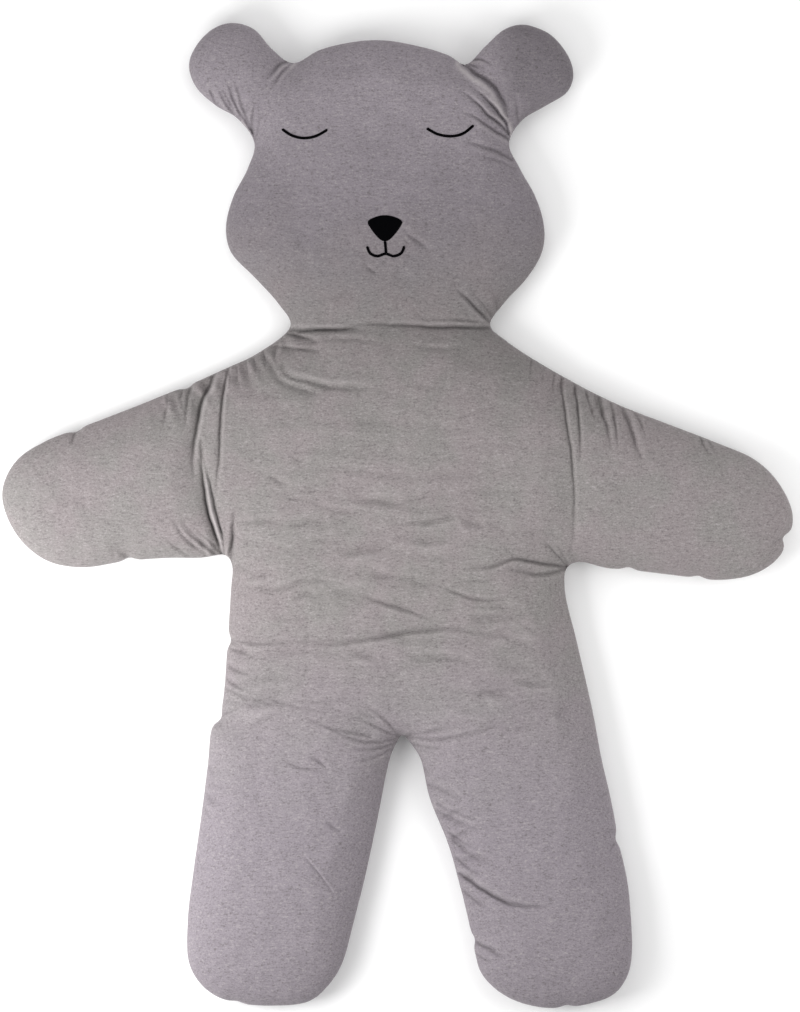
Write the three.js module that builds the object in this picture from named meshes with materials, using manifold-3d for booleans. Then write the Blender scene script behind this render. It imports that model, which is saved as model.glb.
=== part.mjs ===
// A padded play mat in the outline of a bear that lies on its back, arms out and legs apart.
// Two jersey panels are sewn together round their edge, turned and filled, so the bear is one
// cushion: crowned on top, drawn in at the sides to its seam, and flat where it lies on the floor.
// The filling is pinched at the ears, neck, shoulders and waist, and creases run in from the seam.
// The closed eyes, the nose and the mouth are raised satin stitch on the top panel.
// Millimetres. +X runs from hand to hand, +Y from the feet to the ears, and +Z up from the floor.
import * as THREE from "three";
import Module from "manifold-3d";

// Driving dimensions
const LENGTH = 1500; // feet to ear tips
const SPAN = 1204; // hand to hand
const SEAM_HEIGHT = 30; // from the floor to the sewn edge
const RIM = { rise: 34, reach: 58 }; // the round side of the top panel above the seam
const CROWN = { rise: 17, reach: 115 }; // the slow swell of the filling inside the rim
const UNDERSIDE_REACH = 36; // the round side of the underside, within which it lies flat
// How uneven the filling is, and the two crossing waves that it follows
const LUMPS = {
  height: 2.2,
  first: { x: 41, y: 124, start: 0.7 },
  second: { x: -153, y: 50 },
};

// Fineness of the surfaces
const SEAM_STEP = { plain: 19, tight: 8 }; // along the seam, and near its tucks and corners
const RIM_INSETS = [3, 11, 25, 41]; // rows of points round the top panel, in from the seam
const UNDERSIDE_INSETS = [4, 15, 37]; // and round the underside
const FILL_PITCH = 21; // between the points that fill the top panel
const UNDERSIDE_PITCH = 110; // between the few points that its flat underside needs
const CREASE_STEP = 12; // along a crease
const CREASE_SIDES = { flank: 1.25, lip: 2.3 }; // lines of points beside it, in crease widths
const ROOM = { detail: 6.4, row: 8, fill: 0.62 }; // between points; for the fill, of its pitch

// The seam, by cross-sections of each part of the bear
const HEAD = [
  { y: 290, left: -164, right: 141 },
  { y: 322, left: -182, right: 161 },
  { y: 362, left: -218, right: 197 },
  { y: 402, left: -255, right: 220 },
  { y: 440, left: -262, right: 223 },
  { y: 486, left: -251, right: 210 },
  { y: 530, left: -229, right: 186 },
  { y: 567, left: -219, right: 170 },
];
const CROWN_LINE = [
  { x: -118, y: 710 },
  { x: -72, y: 721 },
  { x: -27, y: 725 },
  { x: 40, y: 713 },
  { x: 78, y: 701 },
];
// An ear points along its heading in degrees, and its sections give the seam on either side
const LEFT_EAR = {
  root: [-190, 629],
  heading: 135,
  tip: 146,
  sections: [
    { along: 22, inner: 64, outer: 56 },
    { along: 58, inner: 57, outer: 65 },
    { along: 102, inner: 58, outer: 66 },
    { along: 134, inner: 37, outer: 47 },
  ],
};
const RIGHT_EAR = {
  root: [136, 629],
  heading: 45,
  tip: 142,
  sections: [
    { along: 18, inner: 65, outer: 57 },
    { along: 60, inner: 63, outer: 67 },
    { along: 98, inner: 60, outer: 75 },
    { along: 122, inner: 46, outer: 64 },
    { along: 137, inner: 20, outer: 39 },
  ],
};
const LEFT_ARM = [
  { x: -212, top: 249, bottom: null },
  { x: -262, top: 225, bottom: -61 },
  { x: -302, top: 207, bottom: -65 },
  { x: -350, top: 187, bottom: -65 },
  { x: -415, top: 161, bottom: -70 },
  { x: -480, top: 136, bottom: -79 },
  { x: -536, top: 114, bottom: -68 },
  { x: -582, top: 83, bottom: -27 },
];
const LEFT_HAND = [-603, 34];
const RIGHT_ARM = [
  { x: 165, top: 267, bottom: null },
  { x: 210, top: 237, bottom: null },
  { x: 275, top: 200, bottom: -71 },
  { x: 318, top: 178, bottom: -80 },
  { x: 352, top: 163, bottom: -83 },
  { x: 420, top: 137, bottom: -91 },
  { x: 490, top: 110, bottom: -98 },
  { x: 545, top: 85, bottom: -88 },
  { x: 583, top: 46, bottom: -60 },
];
const RIGHT_HAND = [602, -4];
const ARMPITS = { left: [-253, -76], right: [258, -80] };
const FLANKS = [
  { y: -112, left: -255, right: 255 },
  { y: -190, left: -260, right: 273 },
  { y: -300, left: -271, right: 298 },
];
const LEFT_HIP = [-284, -324];
const LEFT_LEG = [
  { y: -375, inner: -13, outer: -290 },
  { y: -455, inner: -29, outer: -300 },
  { y: -540, inner: -47, outer: -312 },
  { y: -620, inner: -67, outer: -321 },
  { y: -685, inner: -86, outer: -317 },
  { y: -722, inner: -112, outer: -291 },
  { y: -740, inner: -137, outer: -254 },
];
const LEFT_FOOT = [-192, -746];
const RIGHT_LEG = [
  { y: -370, inner: 34, outer: 311 },
  { y: -430, inner: 48, outer: 325 },
  { y: -500, inner: 76, outer: 338 },
  { y: -560, inner: 93, outer: 351 },
  { y: -620, inner: 108, outer: 356 },
  { y: -665, inner: 117, outer: 357 },
  { y: -698, inner: 128, outer: 351 },
  { y: -728, inner: 159, outer: 330 },
  { y: -744, inner: 196, outer: 288 },
];
const RIGHT_FOOT = [240, -750];
const CROTCH = { right: [22, -351], notch: [7, -335], left: [-6, -355] };

// Places where the seam puckers, and how far it draws in there
const TUCKS = [
  { where: "left forearm", at: [-490, 131], depth: 4 },
  { where: "left shoulder", at: [-322, 198], depth: 4 },
  { where: "left elbow", at: [-408, -70], depth: 5 },
  { where: "right elbow", at: [352, -83], depth: 4 },
  { where: "right wrist", at: [458, -95], depth: 4 },
  { where: "right hand", at: [594, -36], depth: 9 },
  { where: "left waist", at: [-260, -190], depth: 5 },
  { where: "left hip", at: [-274, -307], depth: 4 },
  { where: "right knee", at: [338, -492], depth: 4 },
  { where: "right ankle", at: [113, -646], depth: 4 },
  { where: "right heel", at: [257, -750], depth: 4 },
  { where: "left heel", at: [-245, -743], depth: 3 },
];
const TUCK_WIDTH = 10;

// Channels where the filling is pinched: wide, shallow troughs from seam to seam
const CHANNELS = [
  { where: "neck", depth: 9, width: 30, line: [[-164, 290], [-90, 284], [40, 287], [141, 290]] },
  { where: "left ear", depth: 9, width: 20, line: [[-161, 692], [-195, 636], [-219, 567]] },
  { where: "right ear", depth: 11, width: 24, line: [[102, 689], [146, 640], [170, 567]] },
  { where: "left shoulder", depth: 9, width: 26,
    line: [[-281, 222], [-302, 127], [-297, 50], [-262, -70]] },
  { where: "right shoulder", depth: 7, width: 26,
    line: [[250, 215], [254, 120], [262, 24], [262, -76]] },
  { where: "waist", depth: 4, width: 28,
    line: [[-260, -190], [-110, -193], [80, -174], [273, -190]] },
];

// Creases that run in from the seam, listed from root to tip, and fade as they run. A lip is the
// ridge beside a crease: on its left hand as it runs, or on its right where it is negative.
const CREASES = [
  { where: "neck, left", depth: 8, width: 7, lip: 3, line: [[-162, 283], [-95, 283], [-35, 290]] },
  { where: "neck, right", depth: 6, width: 6, lip: -3, line: [[141, 286], [4, 288], [-80, 293]] },
  { where: "neck corner", depth: 9, width: 6, lip: 0,
    line: [[-176, 276], [-144, 272], [-112, 263]] },
  { where: "chin", depth: 5, width: 6, lip: 3, line: [[141, 295], [110, 322], [76, 350]] },
  { where: "right ear, outer", depth: 11, width: 6, lip: -6,
    line: [[101, 687], [141, 652], [164, 624], [171, 580]] },
  { where: "right ear, middle", depth: 8, width: 5, lip: 4,
    line: [[168, 572], [146, 630], [104, 668]] },
  { where: "right ear, inner", depth: 6, width: 7, lip: 4,
    line: [[168, 566], [130, 620], [86, 650]] },
  { where: "right brow", depth: 6, width: 6, lip: 0, line: [[175, 545], [133, 563], [88, 573]] },
  { where: "left ear, top", depth: 8, width: 6, lip: 4,
    line: [[-163, 691], [-187, 674], [-204, 652]] },
  { where: "left ear, lower", depth: 7, width: 5, lip: 3,
    line: [[-222, 578], [-238, 615], [-253, 652]] },
  { where: "left ear, outer", depth: 6, width: 5, lip: 3,
    line: [[-236, 598], [-250, 622], [-266, 644]] },
  { where: "left shoulder, outer", depth: 9, width: 6, lip: 4,
    line: [[-281, 222], [-300, 176], [-308, 130], [-311, 85]] },
  { where: "left shoulder, main", depth: 12, width: 7, lip: -6,
    line: [[-262, -66], [-292, 8], [-300, 69], [-302, 127]] },
  { where: "left shoulder, inner", depth: 6, width: 6, lip: 2,
    line: [[-264, 226], [-268, 130], [-279, 16]] },
  { where: "left armpit", depth: 8, width: 6, lip: 0,
    line: [[-254, -78], [-255, -22], [-249, 34]] },
  { where: "left upper arm", depth: 6, width: 8, lip: 2,
    line: [[-272, -62], [-302, -38], [-332, -2]] },
  { where: "right shoulder, main", depth: 10, width: 6, lip: 3,
    line: [[250, 213], [254, 115], [263, 24], [262, -76]] },
  { where: "right shoulder, next", depth: 8, width: 6, lip: 3,
    line: [[270, 203], [276, 145], [278, 72]] },
  { where: "right arm, first", depth: 7, width: 6, lip: 4,
    line: [[306, 184], [317, 138], [326, 98]] },
  { where: "right arm, second", depth: 9, width: 7, lip: 4,
    line: [[340, 168], [356, 130], [371, 78]] },
  { where: "right waist, upper", depth: 9, width: 6, lip: 0,
    line: [[258, -79], [209, -71], [176, -67], [141, -78], [92, -81]] },
  { where: "right waist, lower", depth: 7, width: 6, lip: 0,
    line: [[258, -82], [215, -90], [164, -79]] },
  { where: "waist", depth: 5, width: 7, lip: -2,
    line: [[-260, -190], [-148, -193], [-34, -185], [80, -172], [190, -185]] },
  { where: "left hip", depth: 5, width: 7, lip: 0,
    line: [[-268, -262], [-230, -277], [-186, -287]] },
  { where: "crotch, left", depth: 9, width: 7, lip: 4,
    line: [[3, -339], [-28, -345], [-58, -343], [-108, -322]] },
  { where: "crotch, right", depth: 5, width: 7, lip: 0,
    line: [[12, -338], [66, -341], [118, -330], [170, -314]] },
  { where: "right thigh, top", depth: 5, width: 7, lip: 3,
    line: [[45, -409], [69, -421], [96, -435]] },
  { where: "right thigh", depth: 6, width: 8, lip: 3, line: [[60, -452], [92, -468], [130, -480]] },
  { where: "right knee, upper", depth: 6, width: 8, lip: 3,
    line: [[84, -497], [114, -519], [156, -536]] },
  { where: "right knee, main", depth: 11, width: 8, lip: 5,
    line: [[92, -546], [126, -567], [161, -587], [212, -595]] },
  { where: "right ankle", depth: 7, width: 6, lip: 3,
    line: [[116, -648], [140, -659], [165, -676]] },
];
// Creases that lie clear of the seam, and fade towards both ends
const FREE_CREASES = [
  { where: "collar", depth: 7, width: 8, lip: -4, line: [[-176, 228], [-133, 204], [-68, 192]] },
  { where: "belly, right", depth: 5, width: 7, lip: 0,
    line: [[176, -130], [110, -123], [60, -104]] },
  { where: "belly, middle", depth: 5, width: 7, lip: 0,
    line: [[-38, -124], [4, -141], [56, -158]] },
];

// Embroidery on the face. The thread stands a hair clear of the panel that it is sewn to.
const THREAD = { width: 4.4, height: 1.4, gap: 0.3, step: 4.5, endShare: 0.6 };
const THREAD_SECTION = [
  { across: -1, up: 0 },
  { across: 1, up: 0 },
  { across: 0.94, up: 0.55 },
  { across: 0.5, up: 1 },
  { across: -0.5, up: 1 },
  { across: -0.94, up: 0.55 },
];
const LEFT_EYE = [[-174, 588], [-144, 575], [-107, 587]];
const RIGHT_EYE = [[45, 590], [80, 578], [113, 593]];
const MOUTH_STEM = [[-19, 417.6], [-18.5, 407], [-18, 396.5]];
const MOUTH = [[-46, 409], [-41, 398], [-30, 393], [-18, 396.5], [-6, 394], [5, 398], [9, 410]];
// The nose is a rounded triangle. Its sections run from its tip up, across being of its half width.
const NOSE = {
  middle: [-19, 441],
  halfWidth: 27,
  tip: 418,
  top: 458,
  sections: [
    { y: 424, across: 0.36 },
    { y: 436, across: 0.78 },
    { y: 448, across: 0.98 },
    { y: 455, across: 0.6 },
  ],
  step: 7,
};
// Its rings of points from the underside round to the top, by share of the outline and of the
// thread's height
const NOSE_RINGS = [
  { share: 0.5, up: 0 },
  { share: 1, up: 0 },
  { share: 1, up: 0.6 },
  { share: 0.93, up: 1 },
  { share: 0.5, up: 1.15 },
];
const NOSE_CROWN = 1.2;

const vector = ([x, y]) => new THREE.Vector2(x, y);

// An ear's seam points, from its outer root round its tip to its inner root
function earSections({ root, heading, tip, sections }, turn) {
  const angle = THREE.MathUtils.degToRad(heading);
  const along = vector([Math.cos(angle), Math.sin(angle)]);
  const across = vector([-along.y, along.x]).multiplyScalar(turn);
  const point = (out, aside) =>
    vector(root).addScaledVector(along, out).addScaledVector(across, aside).toArray();
  return [
    ...sections.map((s) => point(s.along, -s.outer)),
    point(tip, 0),
    ...sections.map((s) => point(s.along, s.inner)).reverse(),
  ];
}

// A limb's seam points, out along one side, round its end and back along the other
function limbSections(sections, out, end, back) {
  const all = [...sections.map(out), end, ...sections.map(back).reverse()];
  return all.filter((p) => !p.includes(null));
}

// The seam's corner points in order, anticlockwise from the right side of the neck
function seamSections() {
  const side = (sections, name) => sections.map((s) => [s[name], s.y]);
  const arm = (sections, hand, out, back) =>
    limbSections(sections, (s) => [s.x, s[out]], hand, (s) => [s.x, s[back]]);
  const leg = (sections, foot, out, back) =>
    limbSections(sections, (s) => [s[out], s.y], foot, (s) => [s[back], s.y]);
  return [
    ...side(HEAD, "right"),
    ...earSections(RIGHT_EAR, 1),
    ...CROWN_LINE.map((p) => [p.x, p.y]).reverse(),
    ...earSections(LEFT_EAR, -1).reverse(),
    ...side(HEAD, "left").reverse(),
    ...arm(LEFT_ARM, LEFT_HAND, "top", "bottom"),
    ARMPITS.left,
    ...side(FLANKS, "left"),
    LEFT_HIP,
    ...leg(LEFT_LEG, LEFT_FOOT, "outer", "inner"),
    CROTCH.left,
    CROTCH.notch,
    CROTCH.right,
    ...leg(RIGHT_LEG, RIGHT_FOOT, "inner", "outer"),
    ...side(FLANKS, "right").reverse(),
    ARMPITS.right,
    ...arm(RIGHT_ARM, RIGHT_HAND, "bottom", "top"),
  ];
}

// The same points moved and stretched by a hair, so that the mat has its exact length and span
function fittedSections() {
  const sections = seamSections().map(vector);
  const box = new THREE.Box2().setFromPoints(smooth(sections, 2));
  const middle = box.getCenter(new THREE.Vector2());
  const stretch = new THREE.Vector2(SPAN, LENGTH).divide(box.getSize(new THREE.Vector2()));
  return sections.map((p) => p.sub(middle).multiply(stretch));
}

// A closed curve through the points, as points a step apart
function smooth(points, step) {
  const raised = points.map((p) => new THREE.Vector3(p.x, p.y, 0));
  const curve = new THREE.CatmullRomCurve3(raised, true, "centripetal");
  curve.arcLengthDivisions = 40 * points.length;
  const steps = Math.round(curve.getLength() / step);
  const spaced = curve.getSpacedPoints(steps).slice(0, steps);
  return spaced.map((p) => new THREE.Vector2(p.x, p.y));
}

// The direction into the mat at each point of a closed line that runs anticlockwise
function inwards(line) {
  return line.map((_, i) => {
    const along = new THREE.Vector2().subVectors(line[(i + 1) % line.length], line.at(i - 1));
    return new THREE.Vector2(-along.y, along.x).normalize();
  });
}

// The seam as drawn in by its tucks
function tuckedSeam(step) {
  const line = smooth(fittedSections(), step);
  const inward = inwards(line);
  return line.map((p, i) => {
    const pull = TUCKS.reduce((sum, tuck) => {
      const away = p.distanceTo(vector(tuck.at)) / TUCK_WIDTH;
      return sum + tuck.depth * Math.exp(-away * away);
    }, 0);
    return p.clone().addScaledVector(inward[i], pull);
  });
}

// The seam's points for the mesh, close together near its tucks, its inner corners and the ends of
// the channels, and wide apart elsewhere
function sparseSeam(fine) {
  const channelEnds = CHANNELS.flatMap(({ line }) => [line[0], line.at(-1)]);
  const inner = [ARMPITS.left, ARMPITS.right, CROTCH.notch];
  const tightSpots = [...TUCKS.map((t) => t.at), ...inner, ...channelEnds].map(vector);
  const kept = [fine[0]];
  let run = 0;
  for (let i = 1; i < fine.length; i++) {
    run += fine[i].distanceTo(fine[i - 1]);
    const tight = tightSpots.some((spot) => spot.distanceTo(fine[i]) < 2 * TUCK_WIDTH);
    if (run < (tight ? SEAM_STEP.tight : SEAM_STEP.plain)) continue;
    kept.push(fine[i]);
    run = 0;
  }
  return kept;
}

function isInside(x, y, loop) {
  let inside = false;
  for (let i = 0, j = loop.length - 1; i < loop.length; j = i++) {
    const [a, b] = [loop[i], loop[j]];
    if (a.y > y === b.y > y) continue;
    if (x < a.x + ((b.x - a.x) * (y - a.y)) / (b.y - a.y)) inside = !inside;
  }
  return inside;
}

// How much room a point has from the seam, averaged over all directions so that it has no ridges.
// Each straight piece of the seam adds its share of the mean of 1 / distance squared, exactly.
function roomFromSeam(x, y, seam) {
  const onLine = 1e-6;
  let sum = 0;
  for (let i = 0; i < seam.length; i++) {
    const [a, b] = [seam[i], seam[(i + 1) % seam.length]];
    const length = a.distanceTo(b);
    const [tx, ty] = [(b.x - a.x) / length, (b.y - a.y) / length];
    const start = (a.x - x) * tx + (a.y - y) * ty;
    const off = (a.x - x) * ty - (a.y - y) * tx;
    if (Math.abs(off) < onLine) continue;
    const share = (s) => s / (2 * off * (off * off + s * s)) + Math.atan(s / off) / (2 * off * off);
    sum += share(start + length) - share(start);
  }
  return sum > 0 ? 0.5 / Math.sqrt(sum / (2 * Math.PI)) : 0;
}

// The rise of a quarter ellipse, from 0 at the seam to 1 at its reach
const quarterRound = (room, reach) => Math.sqrt(1 - Math.max(0, 1 - room / reach) ** 2);

// The nearest point of a line: its distance, its side (+1 on the left) and its place, 0 to 1
function nearestOn(points, x, y) {
  let best = { away: Infinity, side: 1, place: 0 };
  for (let i = 0; i + 1 < points.length; i++) {
    const [a, b] = [points[i], points[i + 1]];
    const [dx, dy] = [b.x - a.x, b.y - a.y];
    const share = ((x - a.x) * dx + (y - a.y) * dy) / (dx * dx + dy * dy);
    const t = THREE.MathUtils.clamp(share, 0, 1);
    const away = Math.hypot(x - a.x - t * dx, y - a.y - t * dy);
    if (away >= best.away) continue;
    const side = Math.sign(dx * (y - a.y) - dy * (x - a.x)) || 1;
    best = { away, side, place: (i + t) / (points.length - 1) };
  }
  return best;
}

// A fold with its curve, and with that curve as points
function drawn(fold) {
  const curve = new THREE.SplineCurve(fold.line.map(vector));
  return { ...fold, curve, points: curve.getPoints(8 * fold.line.length) };
}

const channels = CHANNELS.map(drawn);
const creases = [
  ...CREASES.map((crease) => ({ ...drawn(crease), fade: (place) => 1 - place ** 2 })),
  ...FREE_CREASES.map((crease) => ({ ...drawn(crease), fade: (place) => Math.sin(Math.PI * place) })),
];

// How far the folds draw the top panel down at a place, less what their lips raise it
function foldDepth(x, y) {
  const trough = (away) => Math.exp(-(away ** 2));
  let depth = 0;
  for (const { points, width, depth: full } of channels) {
    depth += full * trough(nearestOn(points, x, y).away / width);
  }
  for (const { points, width, depth: full, lip, fade } of creases) {
    const { away, side, place } = nearestOn(points, x, y);
    const ridge = side * lip > 0 ? Math.abs(lip) * trough(away / width - 2) : 0;
    depth += fade(place) * (full * trough(away / width) - ridge);
  }
  return depth;
}

function lumps(x, y) {
  const { height, first, second } = LUMPS;
  return (
    height * Math.sin(x / first.x + y / first.y + first.start) * Math.cos(x / second.x + y / second.y)
  );
}

function topHeight(x, y, seam) {
  const room = roomFromSeam(x, y, seam);
  const swell = CROWN.rise * (1 - Math.exp(-((room / CROWN.reach) ** 2)));
  const rise = RIM.rise * quarterRound(room, RIM.reach) + swell;
  return SEAM_HEIGHT + rise * (1 + (lumps(x, y) - foldDepth(x, y)) / (RIM.rise + CROWN.rise));
}

function undersideHeight(x, y, seam) {
  const room = roomFromSeam(x, y, seam);
  return room < UNDERSIDE_REACH ? SEAM_HEIGHT * (1 - quarterRound(room, UNDERSIDE_REACH)) : 0;
}

// Triangles between points by sweeping a Delaunay triangulation from left to right
function delaunay(points) {
  const order = points.map((_, i) => i).sort((a, b) => points[a].x - points[b].x);
  const far = 100 * LENGTH;
  const all = [...points, vector([-far, -far]), vector([far, -far]), vector([0, far])];
  const n = points.length;
  const circle = (a, b, c) => {
    const [p, q, r] = [all[a], all[b], all[c]];
    const [bx, by, cx, cy] = [q.x - p.x, q.y - p.y, r.x - p.x, r.y - p.y];
    const turn = 2 * (bx * cy - by * cx);
    const [b2, c2] = [bx * bx + by * by, cx * cx + cy * cy];
    const [ux, uy] = [(cy * b2 - by * c2) / turn, (bx * c2 - cx * b2) / turn];
    return { corners: [a, b, c], x: p.x + ux, y: p.y + uy, r2: ux * ux + uy * uy };
  };
  let open = [circle(n, n + 1, n + 2)];
  const done = [];
  for (const i of order) {
    const point = all[i];
    const rim = new Map();
    const kept = [];
    for (const t of open) {
      const dx = point.x - t.x;
      if (dx > 0 && dx * dx > t.r2) {
        done.push(t);
        continue;
      }
      if (dx * dx + (point.y - t.y) ** 2 > t.r2) {
        kept.push(t);
        continue;
      }
      const [a, b, c] = t.corners;
      for (const [u, v] of [[a, b], [b, c], [c, a]]) {
        const key = Math.min(u, v) + "," + Math.max(u, v);
        if (rim.has(key)) rim.delete(key);
        else rim.set(key, [u, v]);
      }
    }
    open = [...kept, ...[...rim.values()].map(([u, v]) => circle(u, v, i))];
  }
  return [...done, ...open].map((t) => t.corners).filter((t) => t.every((i) => i < n));
}

// The triangles of a panel, all turned anticlockwise, less those that bridge the seam's hollows
function panelTriangles(points, seam) {
  const turned = delaunay(points).map(([a, b, c]) => {
    const [p, q, r] = [points[a], points[b], points[c]];
    return (q.x - p.x) * (r.y - p.y) > (q.y - p.y) * (r.x - p.x) ? [a, b, c] : [a, c, b];
  });
  return turned.filter((corners) => {
    const middle = new THREE.Vector2();
    corners.forEach((i) => middle.addScaledVector(points[i], 1 / 3));
    return isInside(middle.x, middle.y, seam);
  });
}

// Points of a panel: the seam, then lines of detail, rows set in from the seam, and an even fill,
// each kept only where it has room among those before it
function panelPoints(seam, details, insets, pitch) {
  const points = [...seam];
  const cells = new Map();
  const cell = (i, j) => cells.get(i + "," + j) ?? [];
  const cellOf = (p) => [Math.floor(p.x / ROOM.row), Math.floor(p.y / ROOM.row)];
  const keep = (p) => {
    const [i, j] = cellOf(p);
    cells.set(i + "," + j, [...cell(i, j), p]);
  };
  const isClear = (p, room) => {
    const [i, j] = cellOf(p);
    const span = Math.ceil(room / ROOM.row);
    for (let u = i - span; u <= i + span; u++)
      for (let v = j - span; v <= j + span; v++)
        if (cell(u, v).some((q) => q.distanceTo(p) < room)) return false;
    return true;
  };
  const closed = [...seam, seam[0]];
  const add = (p, room, fromSeam) => {
    if (!isInside(p.x, p.y, seam) || !isClear(p, room)) return;
    if (nearestOn(closed, p.x, p.y).away < fromSeam) return;
    points.push(p);
    keep(p);
  };
  seam.forEach(keep);
  details.forEach((p) => add(p, ROOM.detail, insets[0]));
  const inward = inwards(seam);
  insets.forEach((inset, row) => {
    const stepIn = inset - (row ? insets[row - 1] : 0);
    const room = Math.min(0.75 * stepIn, ROOM.row);
    seam.forEach((p, i) => add(p.clone().addScaledVector(inward[i], inset), room, 0.85 * inset));
  });
  const rowHeight = (pitch * Math.sqrt(3)) / 2;
  const fromSeam = insets.at(-1) + 0.3 * pitch;
  for (let row = 0, y = -LENGTH / 2; y < LENGTH / 2; row++, y += rowHeight)
    for (let x = -SPAN / 2 + ((row % 2) * pitch) / 2; x < SPAN / 2; x += pitch)
      add(vector([x, y]), ROOM.fill * pitch, fromSeam);
  return points;
}

// Points along every crease, on both of its flanks and on its lip
function creaseDetails() {
  return creases.flatMap(({ curve, width, lip }) => {
    const steps = Math.max(2, Math.round(curve.getLength() / CREASE_STEP));
    const { flank } = CREASE_SIDES;
    const sides = [0, -flank, flank, CREASE_SIDES.lip * Math.sign(lip)];
    return curve.getSpacedPoints(steps).flatMap((p, i) => {
      const along = curve.getTangentAt(i / steps);
      const across = new THREE.Vector2(-along.y, along.x);
      return sides.map((side) => p.clone().addScaledVector(across, side * width));
    });
  });
}

// The bear's one filled solid: a top panel and an underside that share the seam's points
function filledBear() {
  const seam = sparseSeam(tuckedSeam(4));
  const top = panelPoints(seam, creaseDetails(), RIM_INSETS, FILL_PITCH);
  const underside = panelPoints(seam, [], UNDERSIDE_INSETS, UNDERSIDE_PITCH);
  const inTop = top.slice(seam.length);
  const inUnderside = underside.slice(seam.length);
  const corners = [
    ...seam.map((p) => new THREE.Vector3(p.x, p.y, SEAM_HEIGHT)),
    ...inTop.map((p) => new THREE.Vector3(p.x, p.y, topHeight(p.x, p.y, seam))),
    ...inUnderside.map((p) => new THREE.Vector3(p.x, p.y, undersideHeight(p.x, p.y, seam))),
  ];
  const topFaces = panelTriangles(top, seam);
  const below = (i) => (i < seam.length ? i : i + inTop.length);
  const undersideFaces = panelTriangles(underside, seam).map(([a, b, c]) => [a, c, b].map(below));
  return { corners, topFaces, faces: [...topFaces, ...undersideFaces] };
}

function geometryOf(corners, faces) {
  const geometry = new THREE.BufferGeometry();
  const places = corners.flatMap((c) => c.toArray());
  geometry.setAttribute("position", new THREE.Float32BufferAttribute(places, 3));
  geometry.setIndex(faces.flat());
  geometry.computeVertexNormals();
  return geometry;
}

// The height of the top panel's own faces at a place, which the embroidery lies on
function heightOn({ corners, topFaces }) {
  return (x, y) => {
    for (const face of topFaces) {
      const [a, b, c] = face.map((i) => corners[i]);
      const whole = (b.x - a.x) * (c.y - a.y) - (b.y - a.y) * (c.x - a.x);
      const v = ((x - a.x) * (c.y - a.y) - (y - a.y) * (c.x - a.x)) / whole;
      const w = ((b.x - a.x) * (y - a.y) - (b.y - a.y) * (x - a.x)) / whole;
      if (v >= 0 && w >= 0 && v + w <= 1) return a.z + v * (b.z - a.z) + w * (c.z - a.z);
    }
    throw new Error("the embroidery is off the mat");
  };
}

// A point of the embroidery, up being of the thread's height
function sewnPoint(x, y, up, surface) {
  return new THREE.Vector3(x, y, surface(x, y) + THREAD.gap + up * THREAD.height);
}

// The faces between rings of n corners each, that go round anticlockwise as seen from the last one
function tubeFaces(rings, n) {
  const faces = [];
  for (let i = 0; i + 1 < rings; i++)
    for (let j = 0; j < n; j++) {
      const k = (j + 1) % n;
      const [a, b, c, d] = [i * n + j, i * n + k, (i + 1) * n + j, (i + 1) * n + k];
      faces.push([a, b, c], [b, d, c]);
    }
  return faces;
}

// A line of satin stitch: a low rounded cord of thread that narrows at both ends
function stitchedLine(line, surface) {
  const curve = new THREE.SplineCurve(line.map(vector));
  const steps = Math.max(3, Math.round(curve.getLength() / THREAD.step));
  const n = THREAD_SECTION.length;
  const corners = [];
  for (let i = 0; i <= steps; i++) {
    const middle = curve.getPointAt(i / steps);
    const along = curve.getTangentAt(i / steps);
    const half = (THREAD.width / 2) * (i === 0 || i === steps ? THREAD.endShare : 1);
    for (const { across, up } of THREAD_SECTION) {
      const [x, y] = [middle.x - along.y * across * half, middle.y + along.x * across * half];
      corners.push(sewnPoint(x, y, up, surface));
    }
  }
  const faces = tubeFaces(steps + 1, n);
  const last = steps * n;
  for (let j = 1; j + 1 < n; j++) faces.push([0, j + 1, j], [last, last + j, last + j + 1]);
  return geometryOf(corners, faces);
}

// The nose, with a domed top
function stitchedNose(surface) {
  const { middle, halfWidth, tip, top, sections, step } = NOSE;
  const side = (sign) =>
    sections.map(({ y, across }) => vector([middle[0] + sign * across * halfWidth, y]));
  const corner = (y) => vector([middle[0], y]);
  const outline = smooth([corner(tip), ...side(1), corner(top), ...side(-1).reverse()], step);
  const ring = ({ share, up }) =>
    outline.map((p) => {
      const { x, y } = vector(middle).lerp(p, share);
      return sewnPoint(x, y, up, surface);
    });
  const hub = (up) => sewnPoint(...middle, up, surface);
  const corners = [...NOSE_RINGS.flatMap(ring), hub(0), hub(NOSE_CROWN)];
  const n = outline.length;
  const faces = tubeFaces(NOSE_RINGS.length, n);
  const [last, under] = [(NOSE_RINGS.length - 1) * n, NOSE_RINGS.length * n];
  for (let j = 0; j < n; j++) {
    const k = (j + 1) % n;
    faces.push([j, under, k], [last + j, last + k, under + 1]);
  }
  return geometryOf(corners, faces);
}

// Two solids sewn as one
async function joined(a, b) {
  const kernel = await Module();
  kernel.setup();
  const solid = (geometry) =>
    new kernel.Manifold(
      new kernel.Mesh({
        numProp: 3,
        vertProperties: new Float32Array(geometry.attributes.position.array),
        triVerts: new Uint32Array(geometry.index.array),
      }),
    );
  const { vertProperties, triVerts } = solid(a).add(solid(b)).getMesh();
  const geometry = new THREE.BufferGeometry();
  geometry.setAttribute("position", new THREE.BufferAttribute(vertProperties, 3));
  geometry.setIndex(new THREE.BufferAttribute(triVerts, 1));
  geometry.computeVertexNormals();
  return geometry;
}

const jersey = new THREE.MeshStandardMaterial({ color: 0x96908f, roughness: 0.95, metalness: 0 });
const blackThread = new THREE.MeshStandardMaterial({ color: 0x08090a, roughness: 0.7, metalness: 0 });

function named(name, geometry, material) {
  const mesh = new THREE.Mesh(geometry, material);
  mesh.name = name;
  return mesh;
}

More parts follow.
